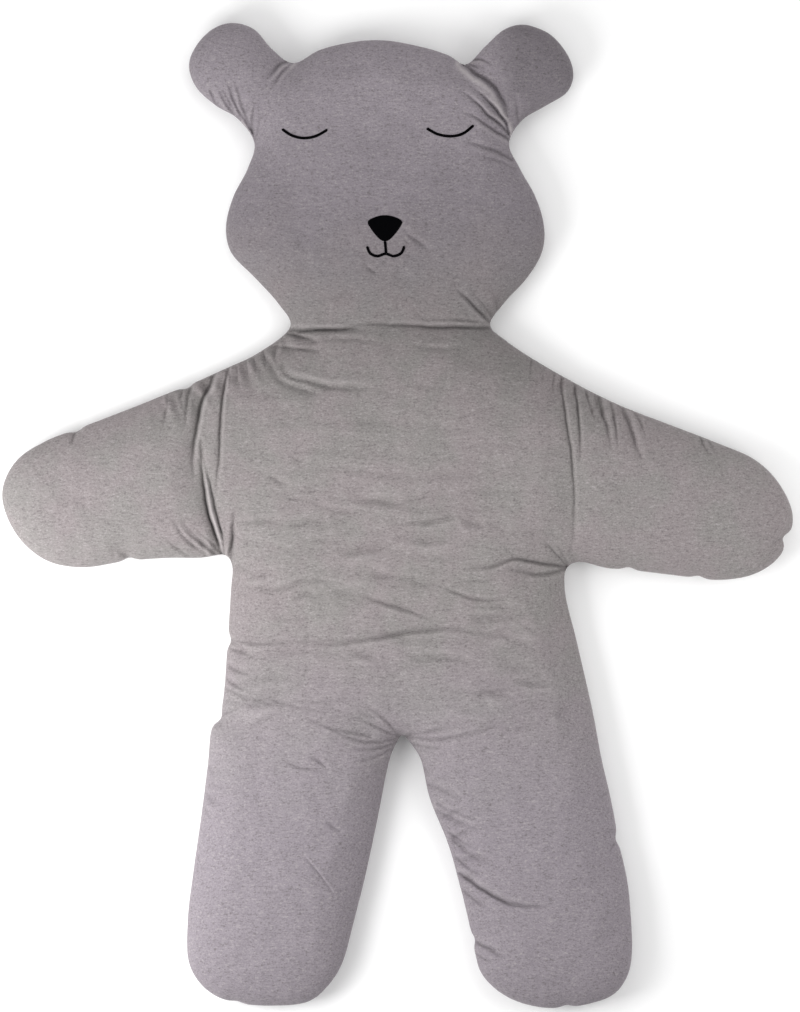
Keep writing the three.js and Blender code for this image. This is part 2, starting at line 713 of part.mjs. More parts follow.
const mat = new THREE.Group();
const bear = filledBear();
const surface = heightOn(bear);
const mouth = await joined(stitchedLine(MOUTH, surface), stitchedLine(MOUTH_STEM, surface));
mat.add(
  named("padded_bear", geometryOf(bear.corners, bear.faces), jersey),
  named("eye_left", stitchedLine(LEFT_EYE, surface), blackThread),
  named("eye_right", stitchedLine(RIGHT_EYE, surface), blackThread),
  named("nose", stitchedNose(surface), blackThread),
  named("mouth", mouth, blackThread),
);

export default mat;
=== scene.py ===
"""A padded play mat in the outline of a sleeping bear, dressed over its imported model.

The jersey body is built again on the same sections and channels as the solid. Its creases, folds
and gathers are those of real cloth, and a cloth simulation fills it. The face is sewn in satin
stitch. Tables are in millimetres, and everything that Blender gets is in metres.
"""

import math

import bpy
import numpy as np
from bpy.props import FloatProperty, FloatVectorProperty, IntProperty, PointerProperty
from mathutils import Matrix, Vector
from mathutils.bvhtree import BVHTree
from mathutils.geometry import barycentric_transform, delaunay_2d_cdt


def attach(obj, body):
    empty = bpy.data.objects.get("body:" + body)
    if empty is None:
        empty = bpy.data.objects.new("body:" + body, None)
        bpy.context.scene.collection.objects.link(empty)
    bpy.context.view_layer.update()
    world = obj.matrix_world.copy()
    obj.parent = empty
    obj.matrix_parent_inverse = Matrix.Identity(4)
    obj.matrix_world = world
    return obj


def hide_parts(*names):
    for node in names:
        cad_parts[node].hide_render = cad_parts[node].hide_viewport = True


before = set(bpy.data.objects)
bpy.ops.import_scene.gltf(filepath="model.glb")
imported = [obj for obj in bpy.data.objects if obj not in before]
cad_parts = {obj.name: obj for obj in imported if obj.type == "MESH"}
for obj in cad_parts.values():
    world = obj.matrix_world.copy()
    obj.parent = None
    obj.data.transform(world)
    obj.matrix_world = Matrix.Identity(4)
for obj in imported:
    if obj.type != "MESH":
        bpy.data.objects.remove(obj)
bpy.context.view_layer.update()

bl_info = {
    "name": "Padded bear play mat",
    "version": (1, 0, 0),
    "blender": (4, 5, 0),
    "location": "View3D > Sidebar > Play mat",
    "description": "Builds a padded play mat in the outline of a sleeping bear",
    "category": "Object",
}

MM = 0.001

# The seam, by cross-sections of each part of the bear
HEAD = (  # y, left, right
    (290, -164, 141),
    (322, -182, 161),
    (362, -218, 197),
    (402, -255, 220),
    (440, -262, 223),
    (486, -251, 210),
    (530, -229, 186),
    (567, -219, 170),
)
CROWN_LINE = ((-118, 710), (-72, 721), (-27, 725), (40, 713), (78, 701))  # x, y
# An ear's sections are along, inner, outer: how far out along its heading, and to either side
LEFT_EAR = {
    "root": (-190, 629),
    "heading": 135,
    "tip": 146,
    "sections": ((22, 64, 56), (58, 57, 65), (102, 58, 66), (134, 37, 47)),
}
RIGHT_EAR = {
    "root": (136, 629),
    "heading": 45,
    "tip": 142,
    "sections": ((18, 65, 57), (60, 63, 67), (98, 60, 75), (122, 46, 64), (137, 20, 39)),
}
LEFT_ARM = (  # x, top, bottom
    (-212, 249, None),
    (-262, 225, -61),
    (-302, 207, -65),
    (-350, 187, -65),
    (-415, 161, -70),
    (-480, 136, -79),
    (-536, 114, -68),
    (-582, 83, -27),
)
LEFT_HAND = (-603, 34)
RIGHT_ARM = (  # x, top, bottom
    (165, 267, None),
    (210, 237, None),
    (275, 200, -71),
    (318, 178, -80),
    (352, 163, -83),
    (420, 137, -91),
    (490, 110, -98),
    (545, 85, -88),
    (583, 46, -60),
)
RIGHT_HAND = (602, -4)
LEFT_ARMPIT = (-253, -76)
RIGHT_ARMPIT = (258, -80)
FLANKS = ((-112, -255, 255), (-190, -260, 273), (-300, -271, 298))  # y, left, right
LEFT_HIP = (-284, -324)
LEFT_LEG = (  # y, inner, outer
    (-375, -13, -290),
    (-455, -29, -300),
    (-540, -47, -312),
    (-620, -67, -321),
    (-685, -86, -317),
    (-722, -112, -291),
    (-740, -137, -254),
)
LEFT_FOOT = (-192, -746)
RIGHT_LEG = (  # y, inner, outer
    (-370, 34, 311),
    (-430, 48, 325),
    (-500, 76, 338),
    (-560, 93, 351),
    (-620, 108, 356),
    (-665, 117, 357),
    (-698, 128, 351),
    (-728, 159, 330),
    (-744, 196, 288),
)
RIGHT_FOOT = (240, -750)
CROTCH = ((22, -351), (7, -335), (-6, -355))  # x, y

# Places where the seam puckers: x, y, and how far it draws in
TUCKS = (
    (-490, 131, 4),
    (-322, 198, 4),
    (-408, -70, 5),
    (352, -83, 4),
    (458, -95, 4),
    (594, -36, 9),
    (-260, -190, 5),
    (-274, -307, 4),
    (338, -492, 4),
    (113, -646, 4),
    (257, -750, 4),
    (-245, -743, 3),
)
TUCK_WIDTH = 10

# Channels where the filling is pinched: depth, width, line
CHANNELS = {
    "neck": (9, 30, ((-164, 290), (-90, 284), (40, 287), (141, 290))),
    "left ear": (9, 20, ((-161, 692), (-195, 636), (-219, 567))),
    "right ear": (11, 24, ((102, 689), (146, 640), (170, 567))),
    "left shoulder": (9, 26, ((-281, 222), (-302, 127), (-297, 50), (-262, -70))),
    "right shoulder": (7, 26, ((250, 215), (254, 120), (262, 24), (262, -76))),
    "waist": (4, 28, ((-260, -190), (-110, -193), (80, -174), (273, -190))),
}

# Creases that run in from the seam: depth, width, lip, line from root to tip. A lip is the
# ridge beside a crease, on its left hand as it runs, or on its right where it is negative.
CREASES = {
    "neck, left": (6, 5, 3, ((-162, 283), (-95, 283), (-35, 290))),
    "neck, right": (6, 5, -3, ((141, 286), (60, 286), (4, 289), (-80, 293))),
    "neck corner": (7, 5, 2, ((-172, 278), (-146, 272), (-116, 261))),
    "chin": (6, 4, 3, ((141, 294), (116, 318), (88, 346))),
    "right ear, outer": (11, 6.5, -5, ((101, 686), (137, 657.5), (153, 640), (165, 621), (171, 584))),
    "right ear, middle": (9, 4, -5, ((170, 584), (162, 600), (147, 619), (132, 633), (110, 652))),
    "right ear, inner": (8, 4, -4, ((170, 580), (156, 594), (137, 608), (121, 624), (92, 647))),
    "right brow": (6, 5, 2, ((175, 541), (156, 551), (129, 561), (96, 569))),
    "left ear, top": (8, 5, 4, ((-163, 692), (-180, 685), (-201, 662))),
    "left ear, lower": (7, 4, 3, ((-226, 588), (-246, 624), (-260, 664))),
    "left ear, middle": (6, 4, 3, ((-222, 582), (-238, 628), (-247, 666))),
    "left ear, outer": (6, 4, 3, ((-240, 602), (-255, 616), (-274, 654))),
    "left shoulder, outer": (10, 5, 4, ((-279, 219), (-297, 176), (-307, 128), (-311, 80), (-309, 52))),
    "left shoulder, main": (10, 4.5, -4, ((-264, -66), (-280, -25), (-292, 24), (-297, 80), (-300, 126))),
    "left shoulder, inner": (6, 4, 3, ((-260, 224), (-267, 164), (-270, 92), (-278, 16))),
    "left armpit": (8, 5, 2, ((-255, -78), (-252, -30), (-248, 10))),
    "left upper arm": (4, 6, 2, ((-272, -62), (-302, -38), (-332, -2))),
    "right shoulder, main": (4.5, 4, 2.5, ((250, 213), (255, 156), (266, 74), (269, -10), (263, -76))),
    "right shoulder, next": (6, 4, 2.5, ((270, 203), (276, 145), (278, 72))),
    "right arm, first": (7, 6, 3, ((306, 184), (317, 138), (326, 98))),
    "right arm, second": (9, 7, 3, ((340, 168), (356, 130), (371, 78))),
    "right waist, upper": (7, 5, 2, ((258, -79), (209, -71), (176, -67), (141, -78), (92, -81))),
    "right waist, lower": (6, 5, 2, ((258, -82), (215, -90), (164, -79))),
    "waist, left": (3, 6, -2, ((-260, -190), (-205, -194), (-150, -193), (-90, -190))),
    "left hip": (4, 5, 1.5, ((-268, -262), (-230, -277), (-186, -287))),
    "crotch, left": (3.5, 4, 1.5, ((3, -339), (-28, -345), (-58, -343), (-108, -322))),
    "crotch, right": (4, 5, 1.5, ((12, -338), (66, -341), (118, -330), (170, -314))),
    "right thigh, top": (5, 7, 1.5, ((45, -409), (69, -421), (96, -435))),
    "right thigh": (6, 8, 3, ((60, -452), (92, -468), (130, -480))),
    "right knee, upper": (6, 8, 1.5, ((84, -497), (114, -519), (156, -536))),
    "right knee, main": (9, 5, 2.5, ((92, -546), (124, -566), (163, -586), (198, -593), (238, -595))),
    "right ankle": (7, 6, 1.5, ((116, -648), (140, -659), (165, -676))),
}
# Creases that fade at both ends
FREE_CREASES = {
    "waist": (4.5, 6, -2, ((-150, -197), (-60, -190), (10, -178), (80, -172), (150, -180))),
    "collar": (4, 7, 3, ((-178, 238), (-168, 214), (-133, 202), (-88, 193), (-30, 192))),
    "belly, right": (3.5, 5, -2, ((176, -130), (110, -125), (60, -104))),
    "belly, middle": (3, 5, -2, ((-60, -118), (-20, -132), (56, -158))),
}
# Slighter creases that run in from the seam
SMALL_CREASES = {
    "neck, second": (4, 4, 2, ((-150, 280), (-80, 284), (-42, 279))),
    "neck, upper right": (3, 4, -2, ((140, 292), (90, 298), (30, 300))),
    "collar root": (4, 4, 2, ((-196, 258), (-160, 256), (-118, 248))),
    "collar, upright": (3, 5, 2, ((-184, 262), (-188, 244), (-180, 220))),
    "cheek, right": (3, 4, 1, ((146, 300), (134, 318), (112, 340))),
    "cheek, right, upper": (3, 4, 2, ((152, 306), (150, 326), (146, 340))),
    "left ear, second": (5, 4, 3, ((-159, 690), (-178, 672), (-192, 648))),
    "left ear, fan": (5, 4, 2, ((-284, 645), (-276, 626), (-262, 612))),
    "left ear, fan below": (4, 4, 1, ((-250, 616), (-258, 634), (-270, 652))),
    "left ear, inner": (5, 4, 3, ((-219, 574), (-222, 596), (-215, 630))),
    "left ear, innermost": (3, 4, 1, ((-218, 566), (-212, 590), (-206, 612))),
    "right ear, third": (6, 4, 3, ((171, 572), (150, 583), (134, 593), (118, 604), (96, 614))),
    "right ear, beyond": (5, 4, -2, ((177, 566), (184, 600), (178, 640))),
    "right ear, short": (9, 3, -3, ((103, 688), (114, 694), (126, 694), (137, 689), (146, 682))),
    "right ear, second short": (8, 3, 2, ((102, 687), (112, 686), (127, 681))),
    "right brow, lower": (3, 4, 1, ((180, 528), (150, 541), (120, 547))),
    "shoulder gather, first": (4, 4, 1, ((-258, 228), (-256, 214), (-254, 194))),
    "shoulder gather, second": (4, 3, 1, ((-247, 233), (-244, 216), (-243, 199))),
    "shoulder gather, third": (3, 3, 1, ((-232, 240), (-229, 222), (-227, 207))),
    "shoulder gather, fourth": (3, 3, 1, ((-221, 245), (-218, 230), (-216, 212))),
    "shoulder gather, fifth": (3, 3, 1, ((-206, 252), (-203, 238), (-201, 220))),
    "left shoulder, between": (6, 4, 3, ((-262, -62), (-280, 25), (-294, 90), (-299, 124))),
    "upper arm gather": (4, 5, 1, ((-350, 186), (-353, 160), (-357, 130))),
    "upper arm gather, inner": (5, 5, 2, ((-316, 195), (-320, 176), (-324, 130))),
    "upper arm gather, short": (4, 4, 1, ((-327, 194), (-330, 184), (-337, 172))),
    "forearm tuck": (5, 4, 2, ((-490, 130), (-494, 118), (-499, 108))),
    "left elbow": (4, 5, 2, ((-408, -66), (-416, -60), (-428, -56))),
    "left armpit fan, first": (3, 4, 2, ((-266, -60), (-286, -40), (-309, -20))),
    "left armpit fan, second": (3, 4, 2, ((-278, -59), (-308, -36), (-331, -13))),
    "left armpit fan, third": (4, 5, 1, ((-292, -62), (-322, -36), (-344, 0))),
    "left armpit fan, fourth": (3, 4, 1, ((-316, -64), (-338, -50), (-354, -30))),
    "left armpit, short": (5, 4, 0, ((-258, -74), (-256, -52), (-251, -28))),
    "right shoulder, short": (4, 4, 2, ((240, 221), (238, 200), (238, 184))),
    "right shoulder gather": (3, 3, 1, ((224, 230), (222, 214), (222, 202))),
    "right shoulder gather, second": (3, 3, 1, ((205, 240), (203, 226), (204, 212))),
    "right arm, between": (5, 4, 2, ((286, 194), (296, 160), (304, 140))),
    "right arm, between, short": (4, 3, 2, ((298, 188), (306, 166), (310, 152))),
    "right arm, inner third": (5, 4, 2, ((326, 174), (332, 130), (337, 92))),
    "right arm, fifth": (4, 4, 2, ((360, 159), (372, 140), (380, 118))),
    "right forearm": (5, 4, 2, ((461, 121), (468, 106), (474, 92))),
    "right forearm, second": (4, 4, 2, ((472, 117), (482, 102), (490, 92))),
    "right armpit": (5, 4, 0, ((258, -78), (246, -62), (224, -38))),
    "right armpit, short": (4, 4, 0, ((260, -77), (254, -62), (247, -44))),
    "right hand": (4, 6, 0, ((596, -34), (582, -36), (566, -44))),
    "left flank": (4, 5, 2, ((-261, -188), (-246, -198), (-230, -206))),
    "left flank, lower": (3, 5, 1, ((-264, -226), (-240, -238), (-212, -244))),
    "left hip, lower": (4, 5, 1, ((-274, -308), (-252, -296), (-232, -288))),
    "left hip, upper": (3, 5, 1, ((-267, -248), (-238, -262), (-200, -270))),
    "left thigh": (3, 5, 1, ((-290, -380), (-284, -396), (-281, -404))),
    "left thigh, lower": (3, 4, 1, ((-296, -420), (-288, -428), (-281, -434))),
    "left knee": (3, 4, 1, ((-299, -440), (-292, -452), (-285, -462))),
    "crotch, upper left": (3, 4, 1.5, ((3, -337), (-32, -322), (-65, -304))),
    "crotch, uppermost left": (3, 4, 2, ((2, -335), (-18, -312), (-46, -290))),
    "crotch, far left": (3, 4, 1.5, ((-40, -336), (-90, -326), (-150, -304))),
    "crotch, lower left": (4, 4, 2, ((-2, -346), (-40, -357), (-76, -354))),
    "crotch, lowest left": (3, 4, 2, ((-6, -354), (-36, -370), (-70, -376))),
    "crotch, upper right": (4, 4, 1, ((14, -336), (46, -330), (80, -326))),
    "crotch, lower right": (4, 4, 1, ((20, -348), (48, -354), (74, -354))),
    "right thigh, root": (4, 4, 1, ((37, -382), (45, -391), (54, -396))),
    "right thigh, middle": (5, 5, 1, ((58, -440), (84, -452), (126, -464))),
    "right knee, second": (5, 4, 1, ((86, -522), (104, -536), (127, -548))),
    "right knee, third": (5, 4, 1, ((76, -484), (100, -500), (124, -508))),
    "right shin": (5, 5, 1, ((98, -572), (122, -590), (142, -598))),
    "right ankle, lower": (4, 4, 1, ((120, -668), (136, -676), (148, -684))),
    "right heel side": (4, 4, 0, ((336, -494), (328, -504), (324, -514))),
    "right thigh, outer": (3, 5, 1, ((328, -416), (318, -424), (308, -433))),
}
# Slighter creases that fade at both ends
SMALL_FREE_CREASES = {
    "under the collar": (1.2, 6, 0, ((-30, 192), (30, 196), (95, 192))),
    "collar, upper": (2, 5, 1, ((-170, 254), (-140, 254), (-104, 250))),
    "collar, outer": (3, 7, 2, ((-196, 232), (-180, 206), (-150, 192), (-112, 180))),
    "under the neck": (2, 6, 2, ((-150, 262), (-90, 268), (-20, 262))),
    "under the neck, right": (2, 6, 2, ((20, 258), (70, 252), (116, 258))),
    "chest": (1.5, 8, 0, ((-88, 234), (-40, 232), (4, 234))),
    "chest, left": (2, 6, 1, ((-196, 62), (-178, 50), (-160, 48))),
    "chin": (2, 8, 0, ((-148, 314), (-100, 332), (-57, 346))),
    "beside the mouth": (3, 6, 2, ((8, 432), (26, 419), (52, 402))),
    "under the mouth": (2, 5, 1, ((-50, 381), (-40, 372), (-27, 366))),
    "above the nose": (1.5, 4, 0, ((-26, 474), (-30, 464), (-32, 458))),
    "cheek, low": (2, 5, 1, ((150, 334), (154, 326), (156, 320))),
    "stomach": (1.6, 6, 1, ((-176, -278), (-120, -284), (-62, -276))),
    "stomach, lower": (1.8, 6, 1, ((-240, -268), (-176, -284), (-102, -299))),
    "stomach, right": (1.2, 6, 1, ((60, -262), (120, -270), (190, -262))),
    "thigh": (3, 5, 0, ((-179, -365), (-150, -382), (-104, -391))),
    "thigh, second": (3, 5, 1, ((-133, -365), (-116, -376), (-102, -390))),
    "shin line": (2, 2.4, 1, ((-149, -508), (-110, -555), (-92, -582))),
    "shin dimple": (2.5, 5, 0, ((-110, -464), (-94, -474), (-80, -482))),
    "right thigh": (2.5, 7, 0, ((270, -289), (250, -300), (240, -311))),
    "rib, left": (2, 5, 1, ((-171, 30), (-152, 24), (-133, 28))),
    "rib, upper": (2, 5, 1, ((-160, 88), (-148, 84), (-134, 86))),
    "upper waist": (1.6, 6, 1, ((-40, -84), (0, -94), (58, -100))),
    "upper waist, right": (2, 5, 1, ((90, -96), (130, -100), (170, -94))),
    "upper waist, left": (1.4, 6, 1, ((-180, -104), (-130, -98), (-70, -106))),
    "over the waist, left": (1.4, 6, 1, ((-220, -150), (-160, -158), (-90, -150))),
    "over the waist, right": (1.8, 6, 1, ((100, -150), (160, -156), (220, -150))),
    "under the waist": (1.2, 6, 1, ((-120, -224), (-40, -232), (60, -220))),
}
# A crease is a sharp line in a softer hollow, as shares of its depth and of its width
SHARP = {"depth": 1.05, "width": 0.42}
HOLLOW = {"depth": 0.55, "width": 1.7}
# Its lip: how far from its line and how wide, in its widths
LIP = {"place": 1.25, "width": 0.65}
# How far its line sways, in widths
CREASE_SWAY = 0.1
# The rows of points along a crease, by their distance from its line in widths
CREASE_ROWS = (0.35, 0.75, 1.2, 1.7, 2.3)
# The depth at which a crease gets its darkest painted shade, and the height at which a lip gets its
# palest painted highlight
FULL_PAINTED_SHADE_DEPTH = 7
FULL_PAINTED_HIGHLIGHT_LIP = 5
# A crease wider than this gets less painted shade
NARROW = 6

# Slight wrinkles strewn over the lower trunk: where, half their run, lean, bow, depth and width,
# and the height of the lip as a share of the depth
WRINKLES = {
    "seed": 7,
    "count": 40,
    "x": (-225, 225),
    "y": (-325, 30),
    "run": (16, 56),
    "lean": 0.15,
    "bow": 4,
    "depth": (1.5, 3.4),
    "width": (6.5, 11),
    "lip": 0.7,
}

# Where the seam gathers the cloth: x, y, spread
GATHERS = (
    (-240, 236, 60),
    (-330, 192, 40),
    (-270, -66, 40),
    (290, 192, 70),
    (466, 118, 20),
    (250, -90, 40),
    (90, -540, 90),
    (60, -440, 60),
    (10, -345, 30),
    (170, 590, 40),
    (-245, 610, 40),
    (110, 690, 24),
    (-160, 690, 24),
    (-265, -230, 60),
    (-295, -420, 50),
    (336, -490, 24),
    (-162, 284, 24),
    (141, 290, 24),
)

# The waves of the gathers: height, length, sway of their length, and the length of that sway
GATHER_WAVES = ((1, 3.1, 1.5, 23), (0.7, 4.7, 1.4, 37), (0.6, 8.3, 2.2, 61))
GATHER_STRENGTH = {"anywhere": 0.05, "gathered": 0.5}
# How far from the seam the gathers are highest, and where they are left out
GATHER_REACH = 15
GATHER_END = 60

# Heights of the small lumps and the ripples, and how far from the seam they start and are full
SMALL_LUMPS = 1.3
RIPPLES = 2.6
UNEVEN = {"start": 12, "full": 52}

# The body's mesh: steps along the seam, rows of points inside it, and the grid of the underside
SEAM_STEP = 4
TOP_INSETS = (0.35, 1.2, 3, 6, 10, 14.5, 19.5, 25, 31, 37.5)
LOW_INSETS = (0.35, 1.5, 4, 8, 14, 22, 34)
LOW_PITCH = 24
# The room that its points keep: along creases from the seam and from each other, in a row as a
# share of its step from the row before but no more than the widest, and in the grid of its pitch
ROOM = {"seam": 1.6, "crease": 1.15, "row": 0.6, "widest": 4, "grid": 0.62}
# A row's point is kept where it is this share of the row's inset away from all of the seam
CLEAR = 0.93
# The rows inside the seam of the simulated cloth, in pitches
FILLED_INSETS = (0.35, 1.1, 2, 3)
# How many times the simulated swell is evened out
EVEN_ROUNDS = 10

# The jersey in the cloth simulation
JERSEY = {
    "quality": 5,
    "mass": 0.2,
    "tension_stiffness": 12,
    "compression_stiffness": 12,
    "shear_stiffness": 5,
    "bending_stiffness": 0.4,
    "use_pressure": True,
}

# Softboxes that face the middle of the mat, in metres: where, and how wide and long
LIGHTS = {"key": (-1.13, -0.48, 0.88), "side": (1.2, -0.2, 1.0), "top": (0.1, 1.3, 1.1)}
SOFTBOX_SIZE = 1.1

# Embroidery on the face
LEFT_EYE = ((-175, 586.6), (-160, 576.8), (-142, 572.7), (-124, 575.7), (-106.5, 585.2))
RIGHT_EYE = ((44.5, 587.4), (61, 578.6), (81, 575.6), (99.5, 579.8), (115.5, 592.2))
NOSE = {"x": -19, "top": 455.2, "tip": 416.4, "half_width": 26.5, "shoulder": 445.4}
MOUTH_STEM = ((-19, 416.2), (-18, 406), (-17.2, 397))
MOUTH = ((-46, 408), (-41.5, 398), (-31, 393.5), (-18, 397), (-6, 393.5), (5.5, 398), (10.5, 408.5))


def metres(name, description, default, **more):
    """A length among the settings."""
    return FloatProperty(name=name, description=description, default=default, unit="LENGTH", **more)


def paint(name, description, *default):
    """A colour among the settings."""
    return FloatVectorProperty(name=name, description=description, default=default, subtype="COLOR")


def number(name, description, default, **more):
    """A plain number among the settings."""
    return FloatProperty(name=name, description=description, default=default, **more)


class PlaymatShape(bpy.types.PropertyGroup):
    """Sizes of the padded body"""

    length: metres("Length", "Feet to ear tips", 1.5)
    span: metres("Span", "Hand to hand", 1.204)
    seam_height: metres("Seam Height", "From the floor to the seam", 0.03)
    rim_rise: metres("Rim Rise", "Height of the round side", 0.034)
    rim_reach: metres("Rim Reach", "Width of the round side", 0.058)
    crown_rise: metres("Crown Rise", "Slow swell of the filling", 0.017)
    crown_reach: metres("Crown Reach", "Room that the swell needs", 0.115)
    underside_reach: metres("Underside Reach", "Width of the round side below the seam", 0.036)
    lump_height: metres("Lump Height", "Unevenness of the filling", 0.0022)
    gather_height: metres("Gather Height", "Height of the gathers", 0.012)
    seam_inset: metres("Seam Inset", "How deep the seam sinks in", 0.0024)
    mesh_pitch: metres("Mesh Pitch", "Between the points of the top", 0.0046)


class PlaymatFilling(bpy.types.PropertyGroup):
    """How the filling swells the cloth"""

    pressure: number("Pressure", "Of the filling", 4.0)
    ease: number("Ease", "Spare cloth, as a share of its length", 0.012)
    most: metres("Most", "The most that the cloth may move", 0.005)
    frames: IntProperty(name="Frames", description="Steps of the simulation", default=20)
    pitch: metres("Mesh Pitch", "Between the points of the cloth", 0.011)


class PlaymatCloth(bpy.types.PropertyGroup):
    """Colours of the heather jersey, and the shade and highlights painted into it"""

    base: paint("Base", "Middle colour", 0.23, 0.209, 0.209)
    light: paint("Light Fibres", "Pale flecks", 0.315, 0.291, 0.293)
    dark: paint("Dark Fibres", "Dark flecks", 0.136, 0.122, 0.124)
    rosy: paint("Rosy Tint", "Warm patches", 0.238, 0.207, 0.212)
    mossy: paint("Mossy Tint", "Cool patches", 0.217, 0.211, 0.201)
    lilac: paint("Lilac Tint", "Head and legs", 0.23, 0.205, 0.229)
    # Painted shade on the face and the right ear, where less light falls on them
    face_painted_shade: number("Dusk", "How much darker the face is than the trunk", 0.24)
    # Painted shade that darkens the colour in creases, and a painted highlight that lightens it on their
    # lips
    crease_painted_shade: number("Fold Shade", "How dark the pile gets in a fold", 0.48)
    lip_painted_highlight: number("Ridge Light", "How pale the pile gets beside a fold", 0.55)
    rib_pitch: metres("Rib Pitch", "Between the knit's columns", 0.0011)


class PlaymatThread(bpy.types.PropertyGroup):
    """The embroidery"""

    colour: paint("Thread", "Colour of the thread", 0.001, 0.001, 0.0013)
    radius: metres("Radius", "Of one stitch", 0.00028, precision=5)
    pitch: metres("Pitch", "Between stitches", 0.00042, precision=5)
    width: metres("Line Width", "Of a stitched line", 0.0039)
    rise: metres("Rise", "Of a stitch above the cloth", 0.0012)


class PlaymatStage(bpy.types.PropertyGroup):
    """Floor, lights and camera"""

    floor: paint("Floor", "Colour of the floor", 0.93, 0.93, 0.93)
    key: number("Key", "Low light from the left", 26.0, unit="POWER")
    side: number("Side", "Light from the right", 8.5, unit="POWER")
    top: number("Top", "Light from beyond the head", 5.0, unit="POWER")
    fill: number("Fill", "Light from all round", 0.595)
    lens: number("Lens", "Focal length", 300.0, unit="CAMERA")


# Plane geometry, in millimetres


def even_steps(line, step, closed):
    """The same line as points a step apart."""
    if closed:
        line = np.vstack([line, line[:1]])
    run = np.concatenate([[0], np.cumsum(np.hypot(*np.diff(line, axis=0).T))])
    count = max(2, round(run[-1] / step))
    stops = np.linspace(0, run[-1], count + 1)
    if closed:
        stops = stops[:-1]
    return np.column_stack([np.interp(stops, run, line[:, axis]) for axis in (0, 1)])


def cubic(start, end, leave, arrive, share):
    """Points on the way from start to end, by the directions in which it leaves and arrives."""
    square = -3 * start + 3 * end - 2 * leave - arrive
    cube = 2 * start - 2 * end + leave + arrive
    return start + leave * share + square * share**2 + cube * share**3


def closed_curve(points, step):
    """A smooth closed line through the points, with no overshoot at tight corners."""
    points = np.array(points, float)
    share = np.linspace(0, 1, 40, endpoint=False)[:, None]
    pieces = []
    for i in range(len(points)):
        p0, p1, p2, p3 = (points[(i + k) % len(points)] for k in (-1, 0, 1, 2))
        d0, d1, d2 = (math.dist(a, b) ** 0.5 for a, b in ((p0, p1), (p1, p2), (p2, p3)))
        leave = ((p1 - p0) / d0 - (p2 - p0) / (d0 + d1) + (p2 - p1) / d1) * d1
        arrive = ((p2 - p1) / d1 - (p3 - p1) / (d1 + d2) + (p3 - p2) / d2) * d1
        pieces.append(cubic(p1, p2, leave, arrive, share))
    return even_steps(np.vstack(pieces), step, True)


def open_curve(points, step):
    """A smooth open line through the points."""
    points = np.array(points, float)
    padded = np.vstack([points[:1], points, points[-1:]])
    share = np.linspace(0, 1, 16, endpoint=False)[:, None]
    pieces = []
    for p0, p1, p2, p3 in zip(padded, padded[1:], padded[2:], padded[3:]):
        leave, arrive = (p2 - p0) / 2, (p3 - p1) / 2
        pieces.append(cubic(p1, p2, leave, arrive, share))
    pieces.append(points[-1:])
    return even_steps(np.vstack(pieces), step, False)


def ear_sections(ear, turn):
    heading = math.radians(ear["heading"])
    along = np.array([math.cos(heading), math.sin(heading)])
    across = turn * np.array([-along[1], along[0]])
    root = np.array(ear["root"], float)
    outer = [root + a * along - out * across for a, _, out in ear["sections"]]
    inner = [root + a * along + into * across for a, into, _ in ear["sections"]]
    return [*outer, root + ear["tip"] * along, *inner[::-1]]


def seam_sections():
    """The seam's corner points in order, anticlockwise from the right side of the neck."""
    left_arm_top = [(x, top) for x, top, _ in LEFT_ARM]
    left_arm_bottom = [(x, bottom) for x, _, bottom in LEFT_ARM if bottom is not None]
    right_arm_top = [(x, top) for x, top, _ in RIGHT_ARM]
    right_arm_bottom = [(x, bottom) for x, _, bottom in RIGHT_ARM if bottom is not None]
    return [
        *[(right, y) for y, _, right in HEAD],
        *ear_sections(RIGHT_EAR, 1),
        *CROWN_LINE[::-1],
        *ear_sections(LEFT_EAR, -1)[::-1],
        *[(left, y) for y, left, _ in HEAD[::-1]],
        *left_arm_top,
        LEFT_HAND,
        *left_arm_bottom[::-1],
        LEFT_ARMPIT,
        *[(left, y) for y, left, _ in FLANKS],
        LEFT_HIP,
        *[(outer, y) for y, _, outer in LEFT_LEG],
        LEFT_FOOT,
        *[(inner, y) for y, inner, _ in LEFT_LEG[::-1]],
        *CROTCH[::-1],
        *[(inner, y) for y, inner, _ in RIGHT_LEG],
        RIGHT_FOOT,
        *[(outer, y) for y, _, outer in RIGHT_LEG[::-1]],
        *[(right, y) for y, _, right in FLANKS[::-1]],
        RIGHT_ARMPIT,
        *right_arm_bottom,
        RIGHT_HAND,
        *right_arm_top[::-1],
    ]


def inwards(line):
    """The direction into the mat at each point of a closed line that runs anticlockwise."""
    along = np.roll(line, -1, axis=0) - np.roll(line, 1, axis=0)
    across = np.column_stack([-along[:, 1], along[:, 0]])
    return across / np.linalg.norm(across, axis=1)[:, None]


def tucked_seam(shape, step):
    """The sewn edge, moved and stretched by a hair to its exact size, and drawn in by its tucks."""
    sections = np.array(seam_sections(), float)
    trial = closed_curve(sections, 2)
    low, high = trial.min(0), trial.max(0)
    stretch = np.array([shape.span, shape.length]) / MM / (high - low)
    line = closed_curve((sections - (low + high) / 2) * stretch, step)
    pull = np.zeros(len(line))
    for x, y, depth in TUCKS:
        away = np.hypot(line[:, 0] - x, line[:, 1] - y) / TUCK_WIDTH
        pull += depth * np.exp(-(away**2))
    return line + inwards(line) * pull[:, None]


def is_inside(places, loop):
    x, y = places[:, 0], places[:, 1]
    inside = np.zeros(len(places), bool)
    for a, b in zip(loop, np.roll(loop, -1, axis=0)):
        if a[1] == b[1]:
            continue
        crosses = (a[1] > y) != (b[1] > y)
        inside ^= crosses & (x < a[0] + (b[0] - a[0]) * (y - a[1]) / (b[1] - a[1]))
    return inside


def in_batches(work, places, size=2000):
    return np.concatenate([work(places[i : i + size]) for i in range(0, len(places), size)])


